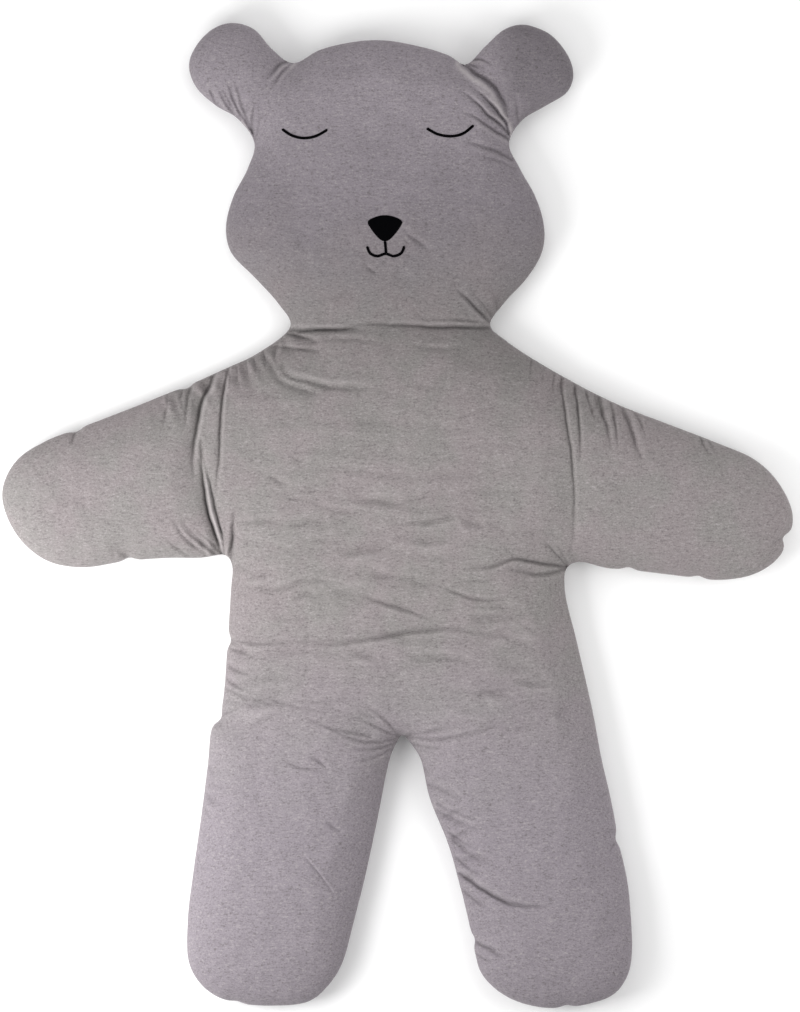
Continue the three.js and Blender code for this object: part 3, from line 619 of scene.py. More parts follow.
def to_segments(places, start, leap):
    """Each place's gap from each segment's start, its nearest share of it, and how far that is."""
    gap = places[:, None] - start[None]
    share = np.clip((gap * leap).sum(-1) / (leap * leap).sum(-1), 0, 1)
    return gap, share, np.linalg.norm(gap - share[..., None] * leap, axis=-1)


def room_from_seam(places, seam):
    """The room that each place has from the seam, averaged over all directions."""
    start, end = seam, np.roll(seam, -1, axis=0)
    length = np.linalg.norm(end - start, axis=1)
    along = (end - start) / length[:, None]

    def room(batch):
        gap = start[None] - batch[:, None]
        first = (gap * along).sum(-1)
        off = gap[..., 0] * along[:, 1] - gap[..., 1] * along[:, 0]
        off = np.where(np.abs(off) < 1e-6, 1e-6, off)

        def share(s):
            return s / (2 * off * (off * off + s * s)) + np.arctan(s / off) / (2 * off * off)

        total = (share(first + length) - share(first)).sum(1)
        return 0.5 / np.sqrt(np.maximum(total, 1e-12) / (2 * np.pi))

    return in_batches(room, places)


class Line:
    """A fold's line, and how near each place is to it."""

    def __init__(self, points, wobble=0.0, step=3):
        line = open_curve(points, step)
        run = step * np.arange(len(line)) + points[0][0]
        sway = np.sin(run / 11) + 0.6 * np.sin(run / 4.3 + points[0][1])
        self.points = line + wobble * sway[:, None] * self.across(line)

    @staticmethod
    def across(line):
        """The direction to the left hand of a line as it runs."""
        along = np.gradient(line, axis=0)
        return np.column_stack([-along[:, 1], along[:, 0]]) / np.linalg.norm(along, axis=1)[:, None]

    def nearest(self, places):
        """Each place's distance from the line, its side (+1 on the left) and its stop, 0 to 1."""
        leap = np.diff(self.points, axis=0)
        gap, share, away = to_segments(places, self.points[:-1], leap)
        best = away.argmin(1)
        rows = np.arange(len(places))
        turn = leap[best, 0] * gap[rows, best, 1] - leap[best, 1] * gap[rows, best, 0]
        stop = (best + share[rows, best]) / len(leap)
        return away[rows, best], np.where(turn >= 0, 1, -1), stop

    def near(self, places, reach):
        low, high = self.points.min(0) - reach, self.points.max(0) + reach
        return np.flatnonzero(((places > low) & (places < high)).all(1))


def channel_depth(places):
    depth = np.zeros(len(places))
    for full, width, points in CHANNELS.values():
        line = Line(points)
        near = line.near(places, 3 * width)
        away, _, _ = line.nearest(places[near])
        depth[near] += full * np.exp(-((away / width) ** 2))
    return depth


def from_root(stop):
    return 1 - stop**2


def both_ends(stop):
    return np.sin(np.pi * stop)


class Crease:
    """One crease: a sharp line in a softer hollow, with a lip along one side."""

    def __init__(self, depth, width, lip, points, fade):
        self.depth, self.width, self.lip, self.fade = depth, width, lip, fade
        self.line = Line(points, CREASE_SWAY * width)

    def depth_at(self, places):
        """The places near it, how far it draws each down, and its painted shading.

        The painted shading is above 0 in the crease, where shade is painted in dark, and below 0 on its
        lip, where a highlight is painted in pale.
        """
        near = self.line.near(places, 4 * self.width)
        away, side, stop = self.line.nearest(places[near])
        away = away / self.width
        trough = SHARP["depth"] * np.exp(-((away / SHARP["width"]) ** 2))
        hollow = HOLLOW["depth"] * np.exp(-((away / HOLLOW["width"]) ** 2))
        ridge = np.exp(-(((away - LIP["place"]) / LIP["width"]) ** 2))
        ridge = np.where(side * self.lip > 0, ridge, 0)
        fade = self.fade(stop)
        # Painted shade in the trough, fainter for shallow or wide creases, and a painted highlight on the
        # lip
        strength = min(1, self.depth / FULL_PAINTED_SHADE_DEPTH) * min(1, NARROW / self.width) ** 2
        dark = trough / SHARP["depth"] * strength
        pale = ridge * min(1, abs(self.lip) / FULL_PAINTED_HIGHLIGHT_LIP) ** 2
        depth = self.depth * (trough + hollow) - abs(self.lip) * ridge
        return near, fade * depth, fade * (dark - pale)

    def rows(self):
        """Points on its line and along both of its flanks."""
        line = self.line.points
        across = Line.across(line) * self.width
        flanks = [line + side * share * across for share in CREASE_ROWS for side in (1, -1)]
        return np.vstack([line, *flanks])


def strewn_wrinkles():
    """Short level wrinkles at random places."""
    chance = np.random.default_rng(WRINKLES["seed"])
    for _ in range(WRINKLES["count"]):
        x, y, run = (chance.uniform(*WRINKLES[name]) for name in ("x", "y", "run"))
        lean = run * chance.normal(0, WRINKLES["lean"])
        bow = chance.normal(0, WRINKLES["bow"])
        depth, width = (chance.uniform(*WRINKLES[name]) for name in ("depth", "width"))
        lip = depth * WRINKLES["lip"] * chance.choice((-1, 1))
        yield depth, width, lip, ((x - run, y + lean), (x, y + bow), (x + run, y - lean))


def all_creases():
    rooted = [*CREASES.values(), *SMALL_CREASES.values()]
    free = [*FREE_CREASES.values(), *SMALL_FREE_CREASES.values(), *strewn_wrinkles()]
    return [Crease(*c, from_root) for c in rooted] + [Crease(*c, both_ends) for c in free]


def lumps(x, y):
    """The filling's slow ups and downs, from -1 to 1."""
    return np.sin(x / 41 + y / 124 + 0.7) * np.cos(y / 50 - x / 153)


def small_lumps(x, y):
    """Finer ones, a hand's width apart."""
    first = np.sin(x / 17 + 1.3 * np.sin(y / 31)) * np.sin(y / 14 + 1.1 * np.sin(x / 27))
    second = np.sin((x + y) / 11.5 + np.sin(x / 19)) * np.sin((x - y) / 13.5 + np.sin(y / 23))
    return 0.6 * first + 0.4 * second


def ripples(x, y):
    """Faint level ripples across the trunk, and fainter ones across the legs."""
    fine = np.sin(y / 3.9 + 1.6 * np.sin(x / 55) + 0.9 * np.sin((x + y) / 31))
    broad = np.sin(y / 6.3 + 1.1 * np.sin(x / 41 + 1) - 0.7 * np.sin(y / 23))
    patchy = 0.62 + 0.38 * np.sin(x / 47 + 2 * np.sin(y / 38)) * np.cos(y / 29 + x / 90)
    trunk = np.exp(-((np.abs(x) / 230) ** 4) - (np.abs(y + 60) / 260) ** 4)
    legs = 0.4 * np.exp(-((np.abs(y + 540) / 230) ** 4))
    return (0.4 * fine + 0.6 * broad) * patchy * (trunk + legs)


def quarter_round(room, reach):
    """From 0 at the seam to 1 at its reach, as a quarter ellipse."""
    return np.sqrt(1 - np.maximum(0, 1 - room / reach) ** 2)


class Spots:
    """Points that keep their distance from each other, found again by the cell they lie in."""

    def __init__(self, cell):
        self.cell = cell
        self.cells = {}
        self.kept = []

    def add(self, places, room):
        """Keep each of the places that has this much room among those kept before it."""
        least = room * room
        for x, y in places.tolist():
            i, j = int(x // self.cell), int(y // self.cell)
            around = (self.cells.get((i + a, j + b), ()) for a in (-1, 0, 1) for b in (-1, 0, 1))
            if any((x - u) ** 2 + (y - v) ** 2 < least for spots in around for u, v in spots):
                continue
            self.cells.setdefault((i, j), []).append((x, y))
            self.kept.append((x, y))


class Body:
    """The padded body's form, in millimetres."""

    def __init__(self, shape, seam_step):
        self.shape = shape
        self.seam = tucked_seam(shape, seam_step)
        self.seam_height = shape.seam_height / MM

    def top(self, places, room, folds=0.0):
        shape = self.shape
        rim, crown = shape.rim_rise / MM, shape.crown_rise / MM
        swell = crown * (1 - np.exp(-((room / (shape.crown_reach / MM)) ** 2)))
        rise = rim * quarter_round(room, shape.rim_reach / MM) + swell
        share = rise / (rim + crown)
        uneven = shape.lump_height / MM * lumps(*places.T) - channel_depth(places)
        return self.seam_height + rise + uneven * share - folds * np.sqrt(share)

    def underside(self, room):
        reach = self.shape.underside_reach / MM
        return np.where(room < reach, self.seam_height * (1 - quarter_round(room, reach)), 0)

    def gathers(self, places, room):
        """The small puckers that the seam draws into the cloth beside it."""
        height = np.zeros(len(places))
        near = np.flatnonzero(room < GATHER_END)
        run = self.place_on_seam(places[near])
        wave = np.zeros(len(near))
        for full, length, sway, sway_length in GATHER_WAVES:
            wave += full * np.sin(run / length + sway * np.sin(run / sway_length))
        strength = np.full(len(near), GATHER_STRENGTH["anywhere"])
        for x, y, spread in GATHERS:
            away = np.hypot(places[near, 0] - x, places[near, 1] - y)
            strength += GATHER_STRENGTH["gathered"] * np.exp(-((away / spread) ** 2))
        reach = room[near] / GATHER_REACH
        height[near] = wave * strength * reach * np.exp(-reach)
        return self.shape.gather_height / MM * height

    def place_on_seam(self, places):
        """How far along the seam each place's nearest seam point is."""
        step = np.linalg.norm(np.diff(self.seam, axis=0), axis=1).mean()
        leap = np.roll(self.seam, -1, axis=0) - self.seam

        def nearest(batch):
            away = np.linalg.norm(batch[:, None] - self.seam[None], axis=-1)
            best = away.argmin(1)
            along = leap[best]
            share = ((batch - self.seam[best]) * along).sum(1) / (along * along).sum(1)
            return (best + np.clip(share, -0.5, 0.5)) * step

        return in_batches(nearest, places)

    def panel(self, insets, pitch, details=()):
        """A panel's points, seam first, and its triangles."""
        seam = self.seam
        spots = Spots(max(pitch, ROOM["widest"]))
        spots.add(seam, 0)
        for detail in details:
            detail = detail[is_inside(detail, seam)]
            clear = self.away_from_seam(detail) > ROOM["seam"]
            spots.add(detail[clear], ROOM["crease"])
        inward = inwards(seam)
        for before, inset in zip((0, *insets), insets):
            row = seam + inward * inset
            row = row[self.away_from_seam(row) > CLEAR * inset]
            spots.add(row, ROOM["row"] * min(inset - before, ROOM["widest"]))
        low, high = seam.min(0), seam.max(0)
        grid_y = np.arange(low[1], high[1], pitch * math.sqrt(3) / 2)
        grid_x = np.arange(low[0], high[0], pitch)
        x, y = np.meshgrid(grid_x, grid_y)
        x = x + (np.arange(len(grid_y)) % 2 * pitch / 2)[:, None]
        fill = np.column_stack([x.ravel(), y.ravel()])
        fill = fill[is_inside(fill, seam)]
        inner = self.away_from_seam(fill) > insets[-1] + pitch / 2
        spots.add(fill[inner], ROOM["grid"] * pitch)
        points = np.array(spots.kept)
        return points, self.triangles(points)

    def away_from_seam(self, places):
        """How far each place inside the seam is from it, and -1 outside."""
        start, leap = self.seam, np.roll(self.seam, -1, axis=0) - self.seam

        def away(batch):
            return to_segments(batch, start, leap)[2].min(1)

        return np.where(is_inside(places, self.seam), in_batches(away, places), -1)

    def triangles(self, points):
        count = len(self.seam)
        edges = [(i, (i + 1) % count) for i in range(count)]
        flat = [Vector(p) for p in points]
        made, _, faces, sources, _, _ = delaunay_2d_cdt(flat, edges, [], 1, 1e-4)
        if len(made) != len(points):
            raise RuntimeError("points of the panel lie on each other")
        source = np.array([s[0] for s in sources])
        return source[np.array(faces)]

    def mesh(self, name, top_panel, low_panel, dress):
        """The closed body: dress gives the top's heights from its places and their room."""
        top, top_faces = top_panel
        low, low_faces = low_panel
        count = len(self.seam)
        top_room = room_from_seam(top[count:], self.seam)
        low_room = room_from_seam(low[count:], self.seam)
        edge = np.full(count, self.seam_height)
        heights = np.concatenate([edge, dress(top[count:], top_room), self.underside(low_room)])
        corners = np.column_stack([np.vstack([top, low[count:]]), heights]) * MM
        below = np.where(low_faces < count, low_faces, low_faces + len(top) - count)
        faces = np.vstack([top_faces, below[:, ::-1]])
        mesh = bpy.data.meshes.new(name)
        mesh.from_pydata(corners.tolist(), [], faces.tolist())
        mesh.validate()
        mesh.shade_smooth()
        return mesh


def link(name, mesh):
    piece = bpy.data.objects.new(name, mesh)
    bpy.context.scene.collection.objects.link(piece)
    return piece


def corners_of(mesh):
    flat = np.empty(len(mesh.vertices) * 3)
    mesh.vertices.foreach_get("co", flat)
    return flat.reshape(-1, 3)


def edges_of(mesh):
    flat = np.empty(len(mesh.edges) * 2, int)
    mesh.edges.foreach_get("vertices", flat)
    return flat.reshape(-1, 2)


def evened(values, edges, rounds):
    """Values at the corners of a mesh, each evened out with its neighbours'."""
    ends = np.concatenate([edges[:, 0], edges[:, 1]])
    others = np.concatenate([edges[:, 1], edges[:, 0]])
    size = len(values)
    count = np.maximum(np.bincount(ends, minlength=size), 1)
    for _ in range(rounds):
        sums = [np.bincount(ends, values[others, axis], size) / count for axis in range(3)]
        values = 0.5 * values + 0.5 * np.column_stack(sums)
    return values


def filled_shift(body, filling):
    """How a cloth simulation swells the body: its corners, their shifts and its triangles."""
    pitch = filling.pitch / MM
    coarse = Body(body.shape, pitch)
    insets = tuple(share * pitch for share in FILLED_INSETS)
    top_panel = coarse.panel(insets, pitch)
    mesh = coarse.mesh("filling", top_panel, coarse.panel(insets[1::2], 3 * pitch), coarse.top)
    piece = link("filling", mesh)
    sewn = piece.vertex_groups.new(name="sewn")
    held = [*range(len(coarse.seam)), *range(len(top_panel[0]), len(mesh.vertices))]
    sewn.add(held, 1, "REPLACE")
    before = corners_of(mesh)
    cloth = piece.modifiers.new("cloth", "CLOTH")
    settings = cloth.settings
    for name, value in JERSEY.items():
        setattr(settings, name, value)
    settings.uniform_pressure_force = filling.pressure
    settings.shrink_min = -filling.ease
    settings.vertex_group_mass = "sewn"
    settings.effector_weights.gravity = 0
    cloth.collision_settings.use_collision = False
    cloth.point_cache.frame_end = filling.frames
    scene = bpy.context.scene
    for step in range(1, filling.frames + 1):
        scene.frame_set(step)
    graph = bpy.context.evaluated_depsgraph_get()
    shift = corners_of(piece.evaluated_get(graph).to_mesh()) - before
    size = np.linalg.norm(shift, axis=1)
    shift *= (filling.most * np.tanh(size / filling.most) / np.maximum(size, 1e-9))[:, None]
    triangles = [tuple(p.vertices) for p in mesh.polygons]
    bpy.data.objects.remove(piece)
    scene.frame_set(1)
    return before, shift, triangles


def carried_shift(corners, before, shift, triangles):
    """The shift of each corner, taken from the nearest place of the simulated cloth."""
    tree = BVHTree.FromPolygons(before.tolist(), triangles)
    old, new = [Vector(p) for p in before], [Vector(p) for p in before + shift]
    carried = np.zeros_like(corners)
    for i, corner in enumerate(corners):
        place, _, face, _ = tree.find_nearest(Vector(corner))
        was, now = ([points[i] for i in triangles[face]] for points in (old, new))
        carried[i] = barycentric_transform(place, *was, *now) - place
    return carried


class Socket:
    """An output socket in a node tree, with arithmetic that adds Math nodes."""

    def __init__(self, maker, socket):
        self.maker = maker
        self.socket = socket

    def math(self, operation, *values):
        return self.maker.node("ShaderNodeMath", {"operation": operation}, dict(enumerate(values)))

    def __add__(self, other):
        return self.math("ADD", self, other)

    def __sub__(self, other):
        return self.math("SUBTRACT", self, other)

    def __rsub__(self, other):
        return self.math("SUBTRACT", other, self)

    def __mul__(self, other):
        return self.math("MULTIPLY", self, other)

    def __pow__(self, other):
        return self.math("POWER", self, other)

    __radd__ = __add__
    __rmul__ = __mul__


class Maker:
    """Adds nodes to one tree."""

    def __init__(self, tree):
        self.tree = tree
        tree.nodes.clear()

    def node(self, kind, settings=None, inputs=None, output=0):
        """A node's output socket. Settings come first, then the inputs by name or number."""
        node = self.tree.nodes.new(kind)
        for name, value in (settings or {}).items():
            setattr(node, name, value)
        for name, value in (inputs or {}).items():
            if isinstance(value, Socket):
                self.tree.links.new(value.socket, node.inputs[name])
            else:
                node.inputs[name].default_value = value
        return Socket(self, node.outputs[output]) if node.outputs else node

    def mix(self, share, first, second):
        """A colour between two."""
        ends = {0: share, 6: first, 7: second}
        ends = {k: (*v, 1) if isinstance(v, tuple) else v for k, v in ends.items()}
        return self.node("ShaderNodeMix", {"data_type": "RGBA"}, ends, 2)

    def noise(self, place, scale, detail=2.0, roughness=0.5):
        values = {"Vector": place, "Scale": scale, "Detail": detail, "Roughness": roughness}
        return self.node("ShaderNodeTexNoise", {}, values)

    def between(self, value, low, high):
        """From 0 below low to 1 above high, smoothly."""
        settings = {"interpolation_type": "SMOOTHSTEP"}
        limits = {"Value": value, "From Min": low, "From Max": high}
        return self.node("ShaderNodeMapRange", settings, limits)


def new_material(name):
    material = bpy.data.materials.new(name)
    material.use_nodes = True
    return material, Maker(material.node_tree)


def jersey(cloth):
    """Heather jersey: pale and dark fibres knitted along the courses, with a brushed face, painted shade
    in its creases, on the bear's face and on its right ear, and painted highlights on the lips of the
    creases.
    """
    material, make = new_material("heather jersey")
    place = make.node("ShaderNodeTexCoord", {}, {}, "Object")

    def stretched(x, y):
        return make.node("ShaderNodeMapping", {}, {"Vector": place, "Scale": (x, y, y)})

    patches = make.noise(place, 13, 3, 0.55)
    tint = make.mix(make.between(patches, 0.34, 0.66), tuple(cloth.rosy), tuple(cloth.mossy))
    colour = make.mix(0.6, tuple(cloth.base), tint)
    across = make.node("ShaderNodeSeparateXYZ", {}, {"Vector": place}, "X")
    along = make.node("ShaderNodeSeparateXYZ", {}, {"Vector": place}, "Y")
    # Where the legs and the head begin and end, in metres, with an uneven edge
    height = along + patches * 0.16 - 0.08
    lilac = make.between(height, -0.1, -0.52) + make.between(height, 0.26, 0.5)
    colour = make.mix(lilac, colour, tuple(cloth.lilac))
    # Masks for painted shade on the face and on the right ear, where less light falls
    face = make.between(height, 0.05, 0.33) * make.between(height, 0.66, 0.42)
    ear = make.between(across, 0.12, 0.19) * make.between(height, 0.55, 0.62)
    flecks = make.noise(stretched(330, 470), 1, 2.5, 0.6)
    grains = make.noise(stretched(620, 820), 1, 2, 0.7)
    streaks = make.noise(stretched(110, 340), 1, 2, 0.5)
    fibres = flecks * 0.46 + grains * 0.26 + streaks * 0.28
    colour = make.mix(make.between(fibres, 0.5, 0.66), colour, tuple(cloth.light))
    colour = make.mix(make.between(fibres, 0.5, 0.35), colour, tuple(cloth.dark))
    # Painted shade darkens the colour in the creases, and a painted highlight lightens it on their lips
    fold = make.node("ShaderNodeAttribute", {"attribute_name": "fold"}, {}, "Fac")
    colour = make.mix(fold * cloth.crease_painted_shade, colour, tuple(0.3 * c for c in cloth.dark))
    colour = make.mix(fold * -cloth.lip_painted_highlight, colour, tuple(1.6 * c for c in cloth.light))
    # Painted shade: the colour is darkened over the face, and more over the right ear
    shaded = {"Vector": colour, "Scale": 1 - (face + ear * 1.4) * cloth.face_painted_shade}
    colour = make.node("ShaderNodeVectorMath", {"operation": "SCALE"}, shaded)
    turn = 2 * math.pi / cloth.rib_pitch
    rib = across.math("SINE", across * turn)
    course = rib.math("SINE", along * (turn * 1.35) + rib * 0.8)
    nap = make.noise(place, 900, 2, 0.7)
    relief = rib * 0.00003 + course * 0.00002 + nap * 0.0002 + fibres * 0.00025
    bump = make.node("ShaderNodeBump", {}, {"Strength": 0.55, "Distance": 1.0, "Height": relief})
    shader = make.node(
        "ShaderNodeBsdfPrincipled",
        {},
        {
            "Base Color": colour,
            "Roughness": grains * 0.12 + 0.86,
            "Specular IOR Level": 0.15,
            "Sheen Weight": 0.16,
            "Sheen Roughness": 0.5,
            "Sheen Tint": (0.9, 0.87, 0.88, 1),
            "Normal": bump,
        },
    )
    make.node("ShaderNodeOutputMaterial", {}, {"Surface": shader})
    return material


def black_thread(thread):
    """Black embroidery thread with a slight gloss and a fine twist."""
    material, make = new_material("black thread")
    place = make.node("ShaderNodeTexCoord", {}, {}, "Object")
    twist = make.noise(place, 2600, 2, 0.6)
    grey = tuple(3 * c for c in thread.colour)
    colour = make.mix(make.between(twist, 0.45, 0.75), tuple(thread.colour), grey)
    height = twist * 0.0001
    bump = make.node("ShaderNodeBump", {}, {"Strength": 0.4, "Distance": 1.0, "Height": height})
    shader = make.node(
        "ShaderNodeBsdfPrincipled",
        {},
        {
            "Base Color": colour,
            "Roughness": twist * 0.2 + 0.6,
            "Specular IOR Level": 0.01,
            "Normal": bump,
        },
    )
    make.node("ShaderNodeOutputMaterial", {}, {"Surface": shader})
    return material


class PLAYMAT_OT_padded_bear(bpy.types.Operator):
    """Sew and fill the jersey body"""

    bl_idname = "playmat.padded_bear"
    bl_label = "Padded Bear"

    def execute(self, context):
        shape = context.scene.playmat_shape
        body = Body(shape, SEAM_STEP)
        creases = all_creases()
        details = [crease.rows() for crease in creases]
        top_panel = body.panel(TOP_INSETS, shape.mesh_pitch / MM, details)
        low_panel = body.panel(LOW_INSETS, LOW_PITCH)

        # Painted shade, above 0, in the creases, and painted highlight, below 0, on their lips, at each
        # corner of the top
        shades = np.zeros(len(top_panel[0]))

        def dress(places, room):
            folds = np.zeros(len(places))
            for crease in creases:
                near, depth, shade = crease.depth_at(places)
                folds[near] += depth
                shades[near + len(body.seam)] += shade
            height = body.top(places, room, folds) + body.gathers(places, room)
            uneven = SMALL_LUMPS * small_lumps(*places.T) + RIPPLES * ripples(*places.T)
            inland = (room - UNEVEN["start"]) / (UNEVEN["full"] - UNEVEN["start"])
            return height + np.clip(inland, 0, 1) * uneven

        mesh = body.mesh("padded_bear", top_panel, low_panel, dress)
        corners = corners_of(mesh)
        count = len(body.seam)
        corners[:count, :2] += inwards(body.seam) * shape.seam_inset
        in_top = slice(0, len(top_panel[0]))
        shift = np.zeros_like(corners)
        filled = filled_shift(body, context.scene.playmat_filling)
        shift[in_top] = carried_shift(corners[in_top], *filled)
        corners += evened(shift, edges_of(mesh), EVEN_ROUNDS)
        mesh.vertices.foreach_set("co", corners.ravel())
        mesh.update()
        # The painted shade and highlight go to the material as an attribute of the mesh
        fold = mesh.attributes.new("fold", "FLOAT", "POINT")
        shades = np.append(shades, np.zeros(len(corners) - len(shades)))
        fold.data.foreach_set("value", np.clip(shades, -1, 1))
        piece = link("padded_bear_cloth", mesh)
        mesh.materials.append(jersey(context.scene.playmat_cloth))
        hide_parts("padded_bear")
        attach(piece, "root")
        return {"FINISHED"}


def stitch_tree():
    """Every edge of a mesh becomes one raised stitch of thread."""
    tree = bpy.data.node_groups.new("satin stitches", "GeometryNodeTree")
    tree.interface.new_socket("Geometry", in_out="INPUT", socket_type="NodeSocketGeometry")
    for name in ("Thread Radius", "Rise"):
        tree.interface.new_socket(name, in_out="INPUT", socket_type="NodeSocketFloat")
    tree.interface.new_socket("Material", in_out="INPUT", socket_type="NodeSocketMaterial")
    tree.interface.new_socket("Geometry", in_out="OUTPUT", socket_type="NodeSocketGeometry")
    make = Maker(tree)
    given = tree.nodes.new("NodeGroupInput")
    edges, radius, rise, material = (Socket(make, output) for output in given.outputs[:4])
    threads = make.node("GeometryNodeMeshToCurve", {}, {"Mesh": edges})
    evenly = {"Curve": threads, "Count": 6}
    threads = make.node("GeometryNodeResampleCurve", {"mode": "COUNT"}, evenly)
    stop = make.node("GeometryNodeSplineParameter", {}, {}, "Factor")
    arch = (1 - (2 * stop - 1) ** 2) ** 0.5 * rise
    lift = make.node("ShaderNodeCombineXYZ", {}, {"Z": arch})
    threads = make.node("GeometryNodeSetPosition", {}, {"Geometry": threads, "Offset": lift})
    ring = make.node("GeometryNodeCurvePrimitiveCircle", {}, {"Resolution": 6, "Radius": radius})
    solid = make.node(
        "GeometryNodeCurveToMesh", {}, {"Curve": threads, "Profile Curve": ring, "Fill Caps": True}
    )
    solid = make.node("GeometryNodeSetShadeSmooth", {}, {"Geometry": solid})
    solid = make.node("GeometryNodeRealizeInstances", {}, {"Geometry": solid})
    solid = make.node("GeometryNodeSetMaterial", {}, {"Geometry": solid, "Material": material})
    make.node("NodeGroupOutput", {}, {"Geometry": solid})
    return tree


def surface_height():
    """The height of the jersey at a place, in metres."""
    mesh = bpy.data.objects["padded_bear_cloth"].data
    tree = BVHTree.FromPolygons(
        [v.co[:] for v in mesh.vertices], [tuple(p.vertices) for p in mesh.polygons]
    )

    def height(x, y):
        return tree.ray_cast(Vector((x, y, 1)), Vector((0, 0, -1)))[0].z

    return height


def sew(name, stitches, thread, node):
    """A piece of embroidery from the two ends of each stitch, in millimetres."""
    height = surface_height()
    ends = []
    for stitch in stitches:
        for x, y in stitch:
            ends.append((x * MM, y * MM, height(x * MM, y * MM)))
    edges = [(i, i + 1) for i in range(0, len(ends), 2)]
    mesh = bpy.data.meshes.new(name)
    mesh.from_pydata(ends, edges, [])
    piece = link(name, mesh)
    tree = bpy.data.node_groups.get("satin stitches") or stitch_tree()
    material = bpy.data.materials.get("black thread") or black_thread(thread)
    modifier = piece.modifiers.new("stitches", "NODES")
    modifier.node_group = tree
    sockets = {s.name: s.identifier for s in tree.interface.items_tree if s.in_out == "INPUT"}
    modifier[sockets["Thread Radius"]] = thread.radius
    modifier[sockets["Rise"]] = thread.rise
    modifier[sockets["Material"]] = material
    graph = bpy.context.evaluated_depsgraph_get()
    sewn = bpy.data.meshes.new_from_object(piece.evaluated_get(graph))
    piece.modifiers.remove(modifier)
    piece.data = sewn
    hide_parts(node)
    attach(piece, "root")
    return piece


def satin_line(points, thread):
    """Stitches across a line, a little aslant, narrower at its ends."""
    line = open_curve(points, thread.pitch / MM)
    along = np.gradient(line, axis=0)
    along /= np.linalg.norm(along, axis=1)[:, None]
    across = np.column_stack([-along[:, 1], along[:, 0]])
    slant = across + 0.25 * along
    run = np.arange(len(line)) * thread.pitch / MM
    half = thread.width / MM / 2
    ends = np.minimum(run, run[::-1]) / half
    width = half * np.sqrt(1 - np.maximum(0, 1 - ends) ** 2).clip(0.5)
    ragged = 1 + 0.05 * np.sin(run * 7.3) * np.sin(run * 3.1)
    reach = slant * (width * ragged)[:, None]
    return list(zip(line - reach, line + reach))


def nose_outline():
    x, half = NOSE["x"], NOSE["half_width"]
    top, tip, shoulder = NOSE["top"], NOSE["tip"], NOSE["shoulder"]
    lower = [(0.2, tip + 1.2), (0.42, tip + 6), (0.81, shoulder - 10)]
    right = [*lower, (0.98, shoulder), (0.6, top - 3)]
    left = [(-across, y) for across, y in right[::-1]]
    corners = [(0, tip), *right, (0, top), *left]
    return closed_curve([(x + across * half, y) for across, y in corners], 1)


def satin_nose(thread):
    """Upright stitches side by side, from edge to edge of the nose."""
    outline = nose_outline()
    pitch = thread.pitch / MM
    stitches = []
    for x in np.arange(outline[:, 0].min() + pitch, outline[:, 0].max(), pitch):
        nexts = np.roll(outline, -1, axis=0)
        crosses = (outline[:, 0] > x) != (nexts[:, 0] > x)
        a, b = outline[crosses], nexts[crosses]
        y = a[:, 1] + (b[:, 1] - a[:, 1]) * (x - a[:, 0]) / (b[:, 0] - a[:, 0])
        jog = 0.25 * math.sin(x * 5.1)
        stitches.append(((x, y.min() - 0.2 + jog), (x, y.max() + 0.2 + jog)))
    return stitches


class PLAYMAT_OT_eyes(bpy.types.Operator):
    """Sew the closed eyes"""

    bl_idname = "playmat.eyes"
    bl_label = "Eyes"

    def execute(self, context):
        thread = context.scene.playmat_thread
        sew("eye_left_stitches", satin_line(LEFT_EYE, thread), thread, "eye_left")
        sew("eye_right_stitches", satin_line(RIGHT_EYE, thread), thread, "eye_right")
        return {"FINISHED"}


class PLAYMAT_OT_nose(bpy.types.Operator):
    """Sew the nose"""

    bl_idname = "playmat.nose"
    bl_label = "Nose"

    def execute(self, context):
        thread = context.scene.playmat_thread
        sew("nose_stitches", satin_nose(thread), thread, "nose")
        return {"FINISHED"}


class PLAYMAT_OT_mouth(bpy.types.Operator):
    """Sew the mouth and its stem"""

    bl_idname = "playmat.mouth"
    bl_label = "Mouth"

    def execute(self, context):
        thread = context.scene.playmat_thread
        stitches = satin_line(MOUTH, thread) + satin_line(MOUTH_STEM, thread)
        sew("mouth_stitches", stitches, thread, "mouth")
        return {"FINISHED"}


def softbox(name, place, power):
    """A square light that faces the middle of the mat."""
    data = bpy.data.lights.new(name, "AREA")
    data.energy = power
    data.size = SOFTBOX_SIZE
    light = bpy.data.objects.new(name, data)
    bpy.context.scene.collection.objects.link(light)
    light.location = place
    light.rotation_euler = (-Vector(place)).to_track_quat("-Z", "Y").to_euler()


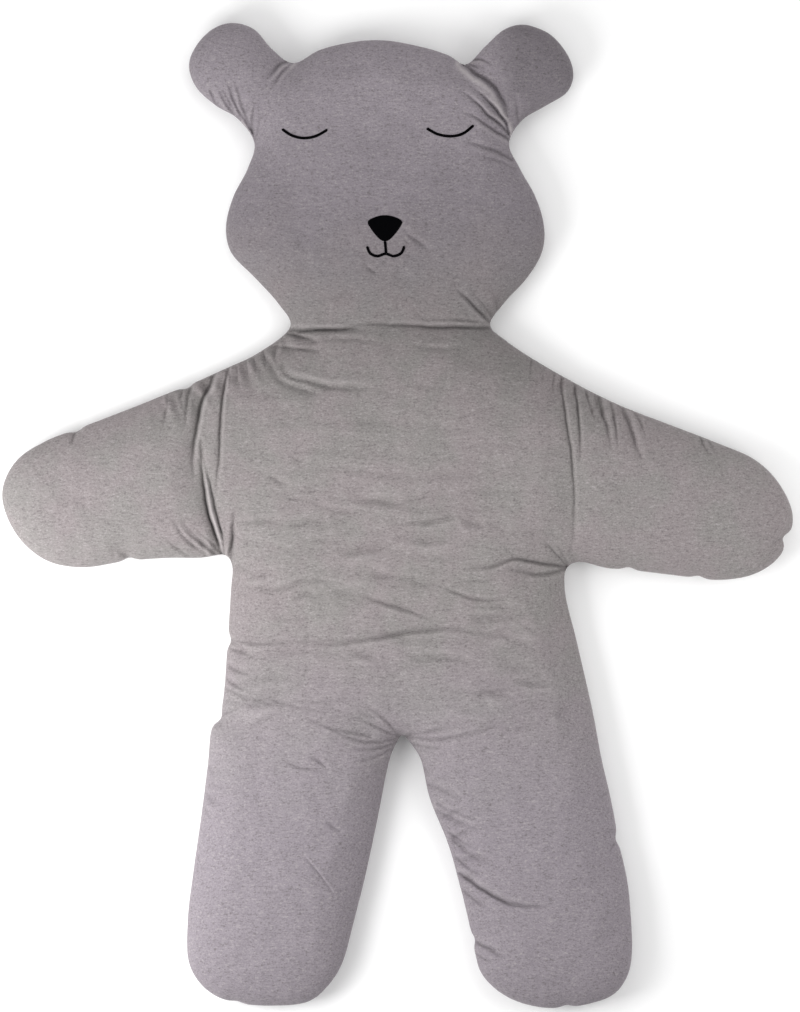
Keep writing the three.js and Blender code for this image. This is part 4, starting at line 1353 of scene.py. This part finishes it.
class PLAYMAT_OT_stage(bpy.types.Operator):
    """Lay the floor, and set the lights and the camera"""

    bl_idname = "playmat.stage"
    bl_label = "Stage"

    def execute(self, context):
        stage = context.scene.playmat_stage
        self.lay_floor(stage)
        self.set_lights(context.scene, stage)
        self.set_camera(context.scene, stage)
        return {"FINISHED"}

    def lay_floor(self, stage):
        wide, drop = 6, -0.0005
        corners = [(x * wide, y * wide, drop) for x, y in ((-1, -1), (1, -1), (1, 1), (-1, 1))]
        mesh = bpy.data.meshes.new("floor")
        mesh.from_pydata(corners, [], [(0, 1, 2, 3)])
        floor = link("floor", mesh)
        material, make = new_material("white floor")
        finish = {"Base Color": (*stage.floor, 1), "Roughness": 0.9, "Specular IOR Level": 0.0}
        shader = make.node("ShaderNodeBsdfPrincipled", {}, finish)
        make.node("ShaderNodeOutputMaterial", {}, {"Surface": shader})
        mesh.materials.append(material)

    def set_lights(self, scene, stage):
        for name, place in LIGHTS.items():
            softbox(name, place, getattr(stage, name))
        world = bpy.data.worlds.new("studio")
        scene.world = world
        world.use_nodes = True
        make = Maker(world.node_tree)
        sky = make.node("ShaderNodeBackground", {}, {"Color": (1, 1, 1, 1), "Strength": stage.fill})
        make.node("ShaderNodeOutputWorld", {}, {"Surface": sky})

    def set_camera(self, scene, stage):
        scene.view_settings.view_transform = "Standard"
        scene.view_settings.look = "None"
        data = bpy.data.cameras.new("camera")
        data.lens = stage.lens
        data.sensor_width = 36
        data.clip_end = 100
        camera = bpy.data.objects.new("camera", data)
        scene.collection.objects.link(camera)
        middle, view_height = (0.0038, 0.0145), 1.5411
        above = view_height * data.lens / data.sensor_width
        seam = scene.playmat_shape.seam_height
        camera.matrix_world = Matrix.Translation((*middle, seam + above))
        scene.camera = camera


class PLAYMAT_PT_panel(bpy.types.Panel):
    """The play mat's pieces and sizes"""

    bl_label = "Play mat"
    bl_space_type = "VIEW_3D"
    bl_region_type = "UI"
    bl_category = "Play mat"

    def draw(self, context):
        for operator in OPERATORS:
            self.layout.operator(operator.bl_idname)
        for name in SETTINGS:
            box = self.layout.box()
            settings = getattr(context.scene, name)
            for size in settings.bl_rna.properties.keys()[2:]:
                box.prop(settings, size)


OPERATORS = (
    PLAYMAT_OT_padded_bear,
    PLAYMAT_OT_eyes,
    PLAYMAT_OT_nose,
    PLAYMAT_OT_mouth,
    PLAYMAT_OT_stage,
)
SETTINGS = {
    "playmat_shape": PlaymatShape,
    "playmat_filling": PlaymatFilling,
    "playmat_cloth": PlaymatCloth,
    "playmat_thread": PlaymatThread,
    "playmat_stage": PlaymatStage,
}


def register():
    for name, group in SETTINGS.items():
        bpy.utils.register_class(group)
        setattr(bpy.types.Scene, name, PointerProperty(type=group))
    for operator in OPERATORS:
        bpy.utils.register_class(operator)
    bpy.utils.register_class(PLAYMAT_PT_panel)


def unregister():
    bpy.utils.unregister_class(PLAYMAT_PT_panel)
    for operator in reversed(OPERATORS):
        bpy.utils.unregister_class(operator)
    for name, group in SETTINGS.items():
        delattr(bpy.types.Scene, name)
        bpy.utils.unregister_class(group)


def main():
    register()
    bpy.ops.playmat.padded_bear()
    bpy.ops.playmat.eyes()
    bpy.ops.playmat.nose()
    bpy.ops.playmat.mouth()
    bpy.ops.playmat.stage()


if __name__ == "__main__":
    main()
